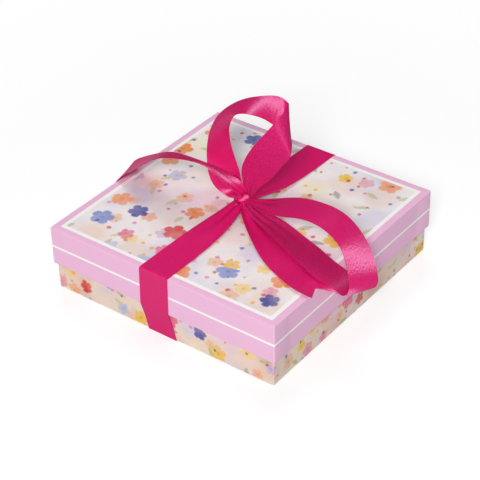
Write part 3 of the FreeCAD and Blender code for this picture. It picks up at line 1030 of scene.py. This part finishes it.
@dataclass
class PaddedInsert:
    """Foam pad on the base's floor with pile cloth laminated on top, a little crowned, with round edges.

    Attributes:
        crown: how far the middle stands over the rounded edge.
        crown_reach: how far in from the sides the crown is still rising.
        roll: how far in from the sides the edge's rounding reaches.
        roll_drop: how far the edge falls, as a share of the roll.
        ripple: height of the slow unevenness of a soft pad.
        steps: points along each side of the pad's grid.
    """

    crown: float = 1.6 * MM
    crown_reach: float = 60 * MM
    roll: float = 4.0 * MM
    roll_drop: float = 0.6
    ripple: float = 0.3 * MM
    steps: int = 64

    def top(self, low: NDArray, high: NDArray) -> NDArray:
        """Grid over the pad's top, closer together near its sides.

        The height is the solid's, less a quarter oval along the sides, less what the crown lacks there, plus
        two crossed sine waves that are sunk by their own height.

        Args:
            low: lowest corner of the pad's solid.
            high: highest corner of it.

        Returns:
            Points, one row for each step along.
        """
        share = np.sin(np.linspace(-1, 1, self.steps) * math.pi / 2)
        middle, half = (low + high) / 2, (high - low) / 2
        across, along = np.meshgrid(middle[0] + half[0] * share, middle[1] + half[1] * share)
        inside = np.minimum(half[0] - np.abs(across - middle[0]), half[1] - np.abs(along - middle[1]))
        edge = np.clip(inside / self.roll, 0, 1)
        fall = (1 - np.sqrt(1 - (1 - edge) ** 2)) * self.roll * self.roll_drop
        swell = self.crown * (smooth_step(0, self.crown_reach, inside) - 1)
        waves = self.ripple * np.sin(across / (23 * MM) + 1.1) * np.sin(along / (29 * MM) + 0.4)
        return np.stack([across, along, high[2] - fall + swell + waves - self.ripple], axis=-1)

    def build(self, foam: Material, velour: Material) -> None:
        """Foam block and the cloth over it.

        Args:
            foam: the block's finish.
            velour: the cloth's.
        """
        low, high = (np.array(corner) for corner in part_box("insert_foam_pad"))
        cloth_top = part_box("insert_velour_cover")[1][2]
        upper = self.top(low, high)
        lower = np.concatenate([upper[..., :2], np.full_like(upper[..., :1], low[2])], axis=-1)
        rows, size = self.steps, self.steps ** 2
        border = np.concatenate([np.arange(rows), np.arange(2, rows) * rows - 1,
                                 size - 1 - np.arange(rows), np.arange(rows - 2, 0, -1) * rows])
        after = np.roll(border, -1)
        skirt = np.stack([border, border + size, after + size, after], axis=1)
        faces = grid_faces(rows, rows, closed=False)
        under = faces[:, ::-1] + size
        block = mesh_piece("insert_foam", np.stack([upper, lower]), faces, skirt, under, flip=True)
        dress(block, Body.BASE, "foam", "insert_foam_pad", foam)
        cover = mesh_piece("insert_velour", upper + [0, 0, AIR], faces, flip=True)
        thicken(cover, cloth_top - high[2] - AIR, 1.0)
        dress(cover, Body.BASE, "velour", "insert_velour_cover", velour)


# Stations of the bow's strips. Each is one cross-section of the ribbon: across and along in percent of half
# the lid, rise over the lid in percent of the bow's height, turn and tilt of the width direction in degrees,
# and width in percent of the ribbon's. The first station, and the last of a loop, is on the knot instead, at
# a place from the knot's middle in percent of its half sizes.
UPPER_LOOP = (
    (-60, 35, 13, 11, 50, 32),
    (-13.2, 7, 10.7, 41, 51, 68),
    (-17.6, 5.4, 18, 26, 42, 95),
    (-21, 4, 28.3, 21, 32, 100),
    (-23.3, 4, 39.4, 11, 31, 100),
    (-25.4, 5.3, 54.5, -4, 30, 100),
    (-22.5, 7.5, 73.5, -27, 19, 100),
    (-16.5, 10, 84, -42, 15, 100),
    (-8, 13.5, 90, -57, 6, 100),
    (1, 18, 91.5, -68, -3, 100),
    (8, 22.5, 90, -70, -12, 100),
    (14.5, 25.5, 86.5, -68, -21, 100),
    (20, 26.5, 83, -58, -30, 100),
    (25.2, 23.5, 81.2, -49, -52, 105),
    (29, 16.5, 80.5, -40, -54, 110),
    (29.7, 9, 75.5, -18, -49, 106),
    (24.5, 6, 66, -3, -42, 100),
    (15.7, 5, 51.3, 2, -39, 100),
    (8, 5, 38, 4, -38, 90),
    (3.3, 4.5, 27.5, 4, -38, 70),
    (40, 60, 40, 4, -38, 30),
)
RIGHT_LOOP = (
    (50, -15, 15, -85, 8, 30),
    (18, -6.5, 18.5, -83, 8, 60),
    (33, -8, 23.5, -84, 0, 85),
    (50, -9, 30, -86, -3, 100),
    (70, -10, 35.5, -89, 1, 100),
    (90, -12, 34.5, -91, 2, 100),
    (105.5, -15.5, 26, -96, 6, 100),
    (115, -19.5, 14, -105, 8, 100),
    (120, -23, 3, -110, 11, 100),
    (121.5, -25, -4, -110, 12, 100),
    (120.8, -27, -7, -107, 13, 100),
    (118.5, -28.8, -7.8, -103, 13, 100),
    (115.5, -30.3, -5.8, -97, 12, 100),
    (112, -31.5, -2.5, -92, 11, 100),
    (107, -32.2, 0.8, -90, 9, 100),
    (96.5, -31.5, 3.2, -91, 6, 100),
    (75.5, -23.5, 3.3, -93, 7, 100),
    (53.5, -16, 4.5, -93, 8, 92),
    (33.5, -9.5, 5.5, -92, 5, 75),
    (18, -6.5, 7, -92, 1, 50),
    (50, -25, -20, -95, 0, 30),
)
LEFT_TAIL = (
    (10, 0, 40, -74, 13, 35),
    (2.4, -3, 19.8, -83, 9, 47),
    (-0.2, -5, 24.5, -81, 5, 54),
    (-8.8, -7.7, 31.6, -75, 12, 66),
    (-20.4, -9.5, 38, -67, 28, 86),
    (-40.5, -14.3, 41.7, -72, 28, 100),
    (-58.5, -16, 38, -79, 19, 100),
    (-75.5, -15.3, 26, -81, 7, 100),
    (-93, -13, 11, -79, -1, 100),
    (-103.8, -12.8, -1.5, -80, -5, 100),
    (-106.8, -13.5, -18, -84, -4, 100),
    (-107.8, -14, -33, -90, 0, 100),
)
FRONT_TAIL = (
    (35, -45, -40, 50, 0, 30),
    (19, -13.5, 4, 48, 0, 54),
    (40, -25.5, 2.5, 52, 0, 82),
    (59, -35.5, 1.8, 56, 0, 100),
    (80, -44.5, 1.5, 62, 0, 100),
    (98.5, -50, 1.3, 64, -5, 100),
    (108.5, -50.5, -4, 62, -22, 100),
)
# Stations of the runs over the lid: percent of the way to the knot, rise in percent of the knot's, and
# width in percent of the ribbon's.
TOP_RUN = (
    (0, 1, 100),
    (21, 6, 100),
    (46, 15, 96),
    (72, 35, 76),
    (90, 65, 50),
    (100, 87, 37),
)


@dataclass(frozen=True)
class RibbonFinishes:
    """The ribbon's two faces, bright and dull."""

    bright: Material
    dull: Material


@dataclass
class RibbonStrip:
    """Length of ribbon as a grid: distance along it, and share from edge to edge across it.

    A point is the centre line, plus the share times half the width, plus a lift off the ribbon's own face.
    The lift is the pleats, cosines across the width that deepen as the ribbon is gathered to the knot, and a
    slight curl of the edges.

    Attributes:
        name: the piece's name.
        node: solid that it stands for.
        centres: points of the centre line, close together.
        halves: half the width as a vector, at each point.
        satin_up: whether the bright face is on the side that travel times width points to.
        pleats: full pleats across the width where it is pinched.
        pleat_depth: how deep they are there.
        phase: shifts the pleats across, in turns.
        curl: how far the edges stand off the face.
        notch: how far back the last end is cut, at its left edge, middle and right edge.
        columns: points across the ribbon.
    """

    name: str
    node: str
    centres: NDArray
    halves: NDArray
    satin_up: bool = True
    pleats: float = 2.5
    pleat_depth: float = 1.5 * MM
    phase: float = 0.0
    curl: float = 0.25 * MM
    notch: tuple[float, float, float] = (0.0, 0.0, 0.0)
    columns: int = 33

    def surface(self) -> tuple[NDArray, NDArray]:
        """Work the grid out.

        Returns:
            Points, one row for each of the centre line's, and their places on the flat ribbon in metres.
        """
        reach = distance_along(self.centres)
        normals = np.cross(np.gradient(self.centres, reach, axis=0), self.halves)
        normals /= np.linalg.norm(normals, axis=1)[:, None]
        share = np.linspace(-1, 1, self.columns)
        cut = np.interp(share, (-1, 0, 1), self.notch)
        near_end = smooth_step(reach[-1] - 2 * RIBBON_WIDTH, reach[-1], reach)
        where = reach[:, None] - near_end[:, None] * cut[None]
        half = along_rows(reach, self.halves, where)
        normal = along_rows(reach, normals, where)
        width = np.linalg.norm(half, axis=-1) / (RIBBON_WIDTH / 2)
        gathered = np.clip((1 - width) / (1 - KNOT_SHARE), 0, 1.1)
        wave = np.cos(2 * math.pi * (self.pleats * share[None] / 2 + self.phase))
        lift = self.pleat_depth / 2 * gathered * wave + self.curl * (share[None] ** 2 - 1 / 3)
        centre = along_rows(reach, self.centres, where)
        points = centre + half * share[None, :, None] + normal * lift[..., None]
        places = np.stack([where, np.repeat(share[None] * RIBBON_WIDTH / 2, len(reach), axis=0)], axis=-1)
        return points, places

    def build(self, satin: RibbonFinishes) -> Piece:
        """Ribbon with its bright and dull faces.

        Args:
            satin: the two faces' finishes.

        Returns:
            The piece, not yet on a body.
        """
        points, places = self.surface()
        faces = grid_faces(*points.shape[:2], closed=False)
        faces = faces[:, ::-1] if self.satin_up else faces
        piece = mesh_piece(self.name, points, faces)
        map_corners(piece, "strip", places.reshape(-1, 2)[faces.ravel()])
        thicken(piece, RIBBON_THICK, 0.0, back=1)
        piece.data.materials.append(satin.bright)
        piece.data.materials.append(satin.dull)
        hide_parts(self.node)
        return piece

    def length(self) -> float:
        """Length of the centre line."""
        return float(np.linalg.norm(np.diff(self.centres, axis=0), axis=1).sum())


@dataclass
class Ribbon:
    """One wrap of ribbon round the box and the bow that it ends in.

    Attributes:
        finishes: materials of its two faces.
        step: distance between rows of the bow's grids.
        bend: radius of the ribbon's middle where it goes over the lid's edge.
        sink: how far the lower runs dip towards the base between rim and foot.
        knot_pleats: pleats across the ribbon that is wound round the knot.
        pleat_depth: how deep they are.
        knot_shift: how far the wound ribbon is off the middle of the knot's solid.
        knot_fill: share of that solid's width and height that it takes up.
        knot_spread: share of the solid's depth that it takes up on average, and how much that comes and goes.
        knot_round: how far its edges are drawn in, up to 1 for a full circle.
        knot_skew: how far it leans along the box from side to side.
        lid_half: half the lid's width and depth.
        lid_top, lid_rim: heights of the lid's top and rim.
        knot_middle, knot_half: middle and half sizes of the knot's solid.
    """

    finishes: RibbonFinishes
    step: float = 0.9 * MM
    bend: float = 0.8 * MM
    sink: float = 0.3 * MM
    knot_pleats: int = 3
    pleat_depth: float = 0.9 * MM
    knot_shift: tuple[float, float, float] = (0.8 * MM, -2.0 * MM, 0.2 * MM)
    knot_fill: tuple[float, float] = (0.92, 0.98)
    knot_spread: tuple[float, float] = (0.78, 0.08)
    knot_round: float = 0.75
    knot_skew: float = 0.4 * MM
    lid_half: NDArray = field(init=False)
    lid_top: float = field(init=False)
    lid_rim: float = field(init=False)
    knot_middle: NDArray = field(init=False)
    knot_half: NDArray = field(init=False)

    def __post_init__(self) -> None:
        """Read the lid and the knot from their solids."""
        low, high = (np.array(corner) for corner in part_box("lid_wrap_paper"))
        self.lid_half = (high - low)[:2] / 2
        self.lid_top, self.lid_rim = high[2], low[2]
        low, high = (np.array(corner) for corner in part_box("bow_knot"))
        self.knot_middle, self.knot_half = (low + high) / 2, (high - low) / 2

    def lay(self, strip: RibbonStrip, body: Body | None, held: str, *rests_on: str,
            start: NDArray | None = None, end: NDArray | None = None) -> None:
        """Args:
            strip: the length of ribbon.
            body: half of the box that it rides on, or None where it stretches from the base to the lid.
            held: how the ribbon is held; not used.
            rests_on: pieces that it rests on; not used.
            start: where a stretching strip leaves the base; not used.
            end: where it meets the lid; not used.
        """
        piece = strip.build(self.finishes)
        if body is None:
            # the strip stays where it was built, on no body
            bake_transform(piece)
        else:
            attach(piece, body.value)
        log.info("%s is %.0f mm of ribbon", piece.name, strip.length() / MM)

    def follow(self, stations: tuple[tuple[float, ...], ...], is_loop: bool) -> tuple[NDArray, NDArray]:
        """Carry a bow strip along a natural cubic spline through its stations.

        Args:
            stations: the strip's cross-sections.
            is_loop: whether the last one is on the knot, as the first is.

        Returns:
            Points of the centre line, and half the width as a vector at each.
        """
        table = np.array(stations, dtype=float)
        span = np.array([*self.lid_half, BOW_HEIGHT])
        centres = table[:, :3] / 100 * span + [0, 0, self.lid_top]
        knot_ends = [0, -1] if is_loop else [0]
        centres[knot_ends] = self.knot_middle + table[knot_ends, :3] / 100 * self.knot_half
        turn, tilt = np.radians(table[:, 3]), np.radians(table[:, 4])
        ways = np.stack([np.cos(turn) * np.cos(tilt), np.sin(turn) * np.cos(tilt), np.sin(tilt)], axis=1)
        halves = ways * table[:, 5:] / 100 * RIBBON_WIDTH / 2
        stops = distance_along(centres)
        where = np.linspace(0, stops[-1], round(stops[-1] / self.step))
        return spline_through(stops, centres, where), spline_through(stops, halves, where)

    def bow(self) -> None:
        """The two loops and the two tails."""
        loops = (
            RibbonStrip("bow_standing_loop", "bow_upper_loop", *self.follow(UPPER_LOOP, True),
                        pleats=2.2, phase=0.3),
            RibbonStrip("bow_lying_loop", "bow_right_loop", *self.follow(RIGHT_LOOP, True),
                        pleats=2.6, phase=0.1),
        )
        tails = (
            RibbonStrip("bow_tail_left", "bow_left_tail", *self.follow(LEFT_TAIL, False), satin_up=False,
                        notch=(0.0, 8 * MM, 0.0)),
            RibbonStrip("bow_tail_front", "bow_front_tail", *self.follow(FRONT_TAIL, False), satin_up=False,
                        notch=(0.0, 8 * MM, 3 * MM), pleats=2.0),
        )
        for held, strips in (("folded", loops), ("draped", tails)):
            for strip in strips:
                self.lay(strip, Body.LID, held, "lid_printed_wrap", "bow_knot_wrap")

    def over_lid(self, word: str, y_sign: int, edge_shift: float, rim_shift: float) -> None:
        """Run from the lid's rim up its wall, over its edge in a small arc, and across the lid to the knot.

        Args:
            word: which end of the box.
            y_sign: side of the box, -1 at the front.
            edge_shift: ribbon's middle from the box's middle at the lid's edge.
            rim_shift: the same at the lid's rim.
        """
        off = RIBBON_THICK / 2 + AIR
        wall, top = self.lid_half[1] + off, self.lid_top + off
        bend = self.bend
        rise = np.linspace(self.lid_rim, top - bend, 24)
        up = np.stack([np.zeros_like(rise), np.full_like(rise, wall), rise], axis=1)
        angle = np.linspace(0, math.pi / 2, 9)[1:-1]
        arc = np.stack([np.zeros_like(angle), wall - bend + bend * np.cos(angle),
                        top - bend + bend * np.sin(angle)], axis=1)
        table = np.array(TOP_RUN, dtype=float)
        way = np.linspace(0, 100, 90)
        level = spline_through(table[:, 0], table[:, 1:], way)
        inside_knot = self.knot_half[1] * 0.2
        across = np.stack([np.zeros_like(way), wall - bend + (inside_knot - wall + bend) * way / 100,
                           top + np.maximum(level[:, 0], 0) / 100 * KNOT_RISE], axis=1)
        centres = np.concatenate([up, arc, across])
        drop = np.clip((self.lid_top - centres[:, 2]) / (self.lid_top - self.lid_rim), 0, 1)
        on_wall = np.ones(len(up) + len(arc))
        left = np.concatenate([on_wall, 1 - way / 100])
        centres[:, 0] = edge_shift * left + (rim_shift - edge_shift) * drop
        centres[:, 1] *= y_sign
        halves = np.zeros_like(centres)
        halves[:, 0] = np.concatenate([on_wall, level[:, 1] / 100]) * RIBBON_WIDTH / 2
        strip = RibbonStrip("ribbon_%s_over_lid" % word, "ribbon_%s_run" % word, centres, halves,
                            satin_up=y_sign < 0, pleats=2.0, curl=0.0, phase=0.2)
        self.lay(strip, Body.LID, "stretched", "lid_printed_wrap")

    def down_to_foot(self, word: str, y_sign: int, rim_shift: float, under_shift: float) -> None:
        """Run from the lid's rim to the base's foot.

        Its centre line is straight but for a dip towards the base, half a sine wave that is deepest halfway.

        Args:
            word: which end of the box.
            y_sign: side of the box, -1 at the front.
            rim_shift: ribbon's middle from the box's middle at the lid's rim.
            under_shift: the same at the base's foot.
        """
        foot_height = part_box("ribbon_%s_lower" % word)[0][2]
        foot_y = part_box("base_wrap_paper")[1][1] + RIBBON_THICK / 2
        rim = np.array([rim_shift, y_sign * (self.lid_half[1] + RIBBON_THICK / 2 + AIR), self.lid_rim])
        foot = np.array([under_shift, y_sign * foot_y, foot_height])
        way = np.linspace(0, 1, 40)[:, None]
        centres = rim * (1 - way) + foot * way
        centres[:, 1] -= y_sign * self.sink * np.sin(math.pi * way[:, 0])
        halves = np.repeat([[RIBBON_WIDTH / 2, 0, 0]], len(centres), axis=0)
        strip = RibbonStrip("ribbon_%s_to_foot" % word, "ribbon_%s_lower" % word, centres, halves,
                            satin_up=y_sign > 0, curl=0.0)
        self.lay(strip, None, "stretched", "base_printed_wrap", start=foot, end=rim)

    def under_base(self) -> None:
        """Run flat under the base."""
        low, high = (np.array(corner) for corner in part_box("ribbon_under_run"))
        middle = (low + high) / 2
        along = np.linspace(low[1], high[1], 60)
        centres = np.stack([np.full_like(along, middle[0]), along, np.full_like(along, middle[2])], axis=1)
        halves = np.repeat([[RIBBON_WIDTH / 2, 0, 0]], len(centres), axis=0)
        strip = RibbonStrip("ribbon_under_base", "ribbon_under_run", centres, halves,
                            satin_up=False, curl=0.0)
        self.lay(strip, Body.BASE, "stretched", "base_printed_wrap")

    def knot(self) -> None:
        """Ribbon wound once over the pinch from left to right, gathered into uneven pleats that run round it.

        The surface goes round an oval in the upright plane of the box's width, and across the gathered
        ribbon. The oval is drawn in at the ribbon's two edges along a circle and in the valleys of a cosine
        across, which sways on its way round, and the gathered ribbon is widest on top.
        """
        around = np.linspace(0, 2 * math.pi, 121)
        share = np.linspace(-1, 1, 61)
        turn, side = np.meshgrid(around, share, indexing="ij")
        # two waves out of step keep the pleats uneven, and the power makes their valleys narrow
        sway = 0.7 * np.sin(turn + 0.6) + 0.35 * np.sin(2 * turn + 2.0)
        valley = (0.5 + 0.5 * np.cos(math.pi * self.knot_pleats * side + sway)) ** 1.6
        barrel = np.sqrt(1 - self.knot_round * side ** 2)
        spread = self.knot_spread[0] + self.knot_spread[1] * np.sin(turn)
        reach = np.array(self.knot_fill) * self.knot_half[[0, 2]]
        middle = self.knot_middle + np.array(self.knot_shift)
        drawn_in = self.pleat_depth * valley
        points = np.stack([middle[0] + (reach[0] * barrel - drawn_in) * np.cos(turn),
                           middle[1] + self.knot_half[1] * spread * side + self.knot_skew * np.cos(turn),
                           middle[2] + (reach[1] * barrel - drawn_in) * np.sin(turn)], axis=-1)
        seamed = grid_faces(len(around), len(share), closed=False)[:, ::-1]
        piece = mesh_piece("bow_knot_wrap", points[:-1], seamed % ((len(around) - 1) * len(share)))
        way = around / (2 * math.pi) * math.pi * reach.sum()
        places = np.stack(np.meshgrid(way, share * RIBBON_WIDTH / 2, indexing="ij"), axis=-1)
        map_corners(piece, "strip", places.reshape(-1, 2)[seamed.ravel()])
        thicken(piece, RIBBON_THICK, -1.0, back=1)
        dress(piece, Body.LID, "satin_ribbon", "bow_knot", self.finishes.bright, self.finishes.dull)

    def build(self) -> None:
        """All stretches of the ribbon."""
        under = float(sum(corner[0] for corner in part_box("ribbon_under_run")) / 2)
        shifts = {"front": (-1, -2.4 * MM, -3.0 * MM), "back": (1, 1.0 * MM, 0.8 * MM)}
        self.under_base()
        for word, (y_sign, edge_shift, rim_shift) in shifts.items():
            self.down_to_foot(word, y_sign, rim_shift, under)
            self.over_lid(word, y_sign, edge_shift, rim_shift)
        self.knot()
        self.bow()


@dataclass(frozen=True)
class StudioFloor(Finish):
    """Seamless studio paper: matte grey in the light it throws back, and white where it is seen unshaded.

    The glow for the camera makes up what the paper's own shade lacks to white, more so away from the lamps,
    so the object's shadow stays.

    Attributes:
        ground: sRGB hex colour of the paper.
        near, far: distance from the box, and the glow's strength there.
    """

    name: str = "studio_paper"
    ground: str = "#CACACA"
    near: tuple[float, float] = (0.2, 0.48)
    far: tuple[float, float] = (1.6, 0.86)

    def paint(self, tree: Tree, shader: Node) -> None:
        """Give even matte paper a glow that only the camera sees, also in gloss and through glass.

        Args:
            tree: the material's nodes.
            shader: the material's shader.
        """
        place = add_node(tree, "TexCoord").outputs["Object"]
        reach = add_node(tree, "VectorMath", {0: place}, operation="LENGTH").outputs["Value"]
        level = add_node(tree, "MapRange",
                         {0: reach, 1: self.near[0], 2: self.far[0], 3: self.near[1], 4: self.far[1]})
        path = add_node(tree, "LightPath").outputs
        sharp = add_node(tree, "Math", {0: path["Is Glossy Ray"], 1: path["Is Transmission Ray"]},
                         operation="MAXIMUM")
        seen = add_node(tree, "Math", {0: path["Is Camera Ray"], 1: sharp}, operation="MAXIMUM")
        set_inputs(tree, shader, {
            "Base Color": linear_rgb(self.ground),
            "Roughness": 0.9,
            "Specular IOR Level": 0.0,
            "Emission Color": (1, 1, 1, 1),
            "Emission Strength": add_node(tree, "Math", {0: seen, 1: level}, operation="MULTIPLY"),
        })


@dataclass
class Studio:
    """Pale floor, soft light and the camera at the photograph's angle.

    Attributes:
        azimuth, elevation, roll: camera's direction in degrees.
        distance: from the box's origin to the camera, along its view.
        slide: how far the camera stands to the right of and above the line to the origin.
        focal: focal length in pixels of the picture.
        sensor: width of the camera's sensor in millimetres.
        floor_reach: half the floor's side.
        lamp_distance: from the box to each lamp.
        lamp_aim: height that the lamps face.
        key_way: direction from the box to the key lamp.
        world_level: strength of the even light from all round.
    """

    azimuth: float = 37.55
    elevation: float = 35.38
    roll: float = -1.29
    distance: float = 874.2 * MM
    slide: tuple[float, float] = (-2.43 * MM, 15.35 * MM)
    focal: float = 1545.4
    sensor: float = 36.0
    floor_reach: float = 12.0
    lamp_distance: float = 2.4
    lamp_aim: float = 0.03
    key_way: tuple[float, float, float] = (0.42, -0.70, 0.58)
    world_level: float = 0.12

    def floor(self) -> None:
        """Wide floor just under the part's lowest point."""
        share = np.linspace(-1, 1, 9) * self.floor_reach
        across, along = np.meshgrid(share, share)
        points = np.stack([across, along, np.full_like(across, CAD_BOX[0][2] - 0.02 * MM)], axis=-1)
        floor = mesh_piece("studio_floor", points, grid_faces(*across.shape, closed=False), flip=True)
        floor.data.materials.append(StudioFloor().make())

    def light(self, name: str, way: tuple[float, float, float], size: float, level: float,
              lights: bool = True, mirrored: bool = False,
              only: bpy.types.Collection | None = None) -> None:
        """Square soft light that faces the middle of the box.

        A white surface that faces a lamp of power P at distance d shines with P / (pi d)^2.

        Args:
            name: the lamp's name.
            way: direction from the box to the lamp.
            size: the lamp's side.
            level: what a white surface that faces the lamp shines with.
            lights: whether it lights matte surfaces.
            mirrored: whether glossy surfaces mirror it.
            only: pieces that it reaches, where it doesn't reach all.
        """
        lamp = bpy.data.lights.new(name, "AREA")
        lamp.size = size
        lamp.energy = level * (math.pi * self.lamp_distance) ** 2
        holder = bpy.data.objects.new(name, lamp)
        aim = Vector(way).normalized()
        holder.location = aim * self.lamp_distance + Vector((0, 0, self.lamp_aim))
        holder.rotation_euler = (-aim).to_track_quat("-Z", "Y").to_euler()
        holder.visible_diffuse = lights
        holder.visible_glossy = mirrored
        holder.light_linking.receiver_collection = only
        bpy.context.scene.collection.objects.link(holder)

    def lamps(self) -> None:
        """Key lamp with a lamp for the bow's glints beside it, and two fills.

        The glint lamp reaches no flat run of the ribbon, which would mirror all of it to the box's back.
        """
        bow = bpy.data.collections.new("bow_pieces")
        for piece in bpy.context.scene.objects:
            if piece.name.startswith("bow_") and "satin_bright_face" in piece.material_slots:
                bow.objects.link(piece)
        self.light("key_softbox", self.key_way, size=0.6, level=0.86, mirrored=True)
        self.light("glint_softbox", self.key_way, size=0.5, level=1.9, lights=False, mirrored=True, only=bow)
        self.light("overhead_fill", (0.0, 0.05, 1.0), size=2.4, level=0.16)
        self.light("rear_softbox", (-0.35, 0.45, 0.82), size=0.9, level=0.22)

    def world(self) -> None:
        """Faint even light from all round."""
        world = bpy.data.worlds.new("studio")
        world.use_nodes = True
        set_inputs(world.node_tree, world.node_tree.nodes["Background"],
                   {"Color": (1, 1, 1, 1), "Strength": self.world_level})
        bpy.context.scene.world = world

    def camera(self) -> None:
        """Camera turned by azimuth, elevation and roll, and moved back along its view."""
        turn, rise, roll = (math.radians(angle) for angle in (self.azimuth, self.elevation, self.roll))
        back = Vector((math.sin(turn) * math.cos(rise), -math.cos(turn) * math.cos(rise), math.sin(rise)))
        level = Vector((math.cos(turn), math.sin(turn), 0))
        upright = back.cross(level)
        right = level * math.cos(roll) + upright * math.sin(roll)
        up = upright * math.cos(roll) - level * math.sin(roll)
        eye = bpy.data.cameras.new("camera")
        eye.sensor_width = self.sensor
        eye.lens = self.focal / IMAGE_SIDE * self.sensor
        eye.clip_start = 10 * MM
        holder = bpy.data.objects.new("camera", eye)
        foot = Vector((0, 0, RIBBON_THICK))
        place = right * self.slide[0] + up * self.slide[1] + back * self.distance + foot
        holder.matrix_world = Matrix.Translation(place) @ Matrix((right, up, back)).transposed().to_4x4()
        bpy.context.scene.collection.objects.link(holder)
        bpy.context.scene.camera = holder

    def build(self) -> None:
        """Set the studio up."""
        self.floor()
        self.lamps()
        self.world()
        self.camera()
        bpy.context.scene.view_settings.view_transform = "Standard"


def main() -> None:
    """Build the box, its insert and its ribbon, then the studio."""
    logging.basicConfig(level=logging.INFO)
    greyboard = FibreBoard("greyboard", "#B9B1A4", "#8F877B", grain=0.5 * MM, roughness=0.9).make()
    kraft = FibreBoard("kraft_stay_tape", "#C3A273", "#A58355", grain=0.3 * MM, roughness=0.8,
                       stretch=(1.0, 1.0, 0.2)).make()
    lining = FibreBoard("white_lining_paper", "#F4F1EC", "#E4DFD7", grain=0.4 * MM, roughness=0.8).make()
    for body, finish in ((Body.BASE, BasePrint()), (Body.LID, LidPrint())):
        tray = Tray(body)
        tray.wrap(finish.make())
        tray.board(greyboard)
        tray.stays(kraft)
    for name in ("base_floor_lining", "lid_ceiling_lining"):
        sheet = frame["nodes"][name]
        sheet.data.materials.clear()
        sheet.data.materials.append(lining)
        log.info("%s keeps its solid", name)
    foam = PileCloth("polyurethane_foam", "#ECE9E2", "#CFCAC0", nap=0.9 * MM, depth=0.25 * MM, sheen=0.0)
    velour = PileCloth("flocked_velour", "#F0EAE4", "#DCD2CA", nap=0.35 * MM, depth=0.12 * MM, sheen=0.5)
    PaddedInsert().build(foam.make(), velour.make())
    bright = SatinWeave("satin_bright_face", "#DA0466", "#F08ABC", glint_share=0.06, roughness=0.5, gloss=0.5,
                        sheen=0.0, grain=0.25 * MM)
    dull = SatinWeave("satin_dull_face", "#CE0C62", "#E0589A", glint_share=0.3, roughness=0.65, gloss=0.12,
                      sheen=0.05, grain=0.4 * MM)
    Ribbon(RibbonFinishes(bright.make(), dull.make())).build()
    Studio().build()


if __name__ == "__main__":
    main()
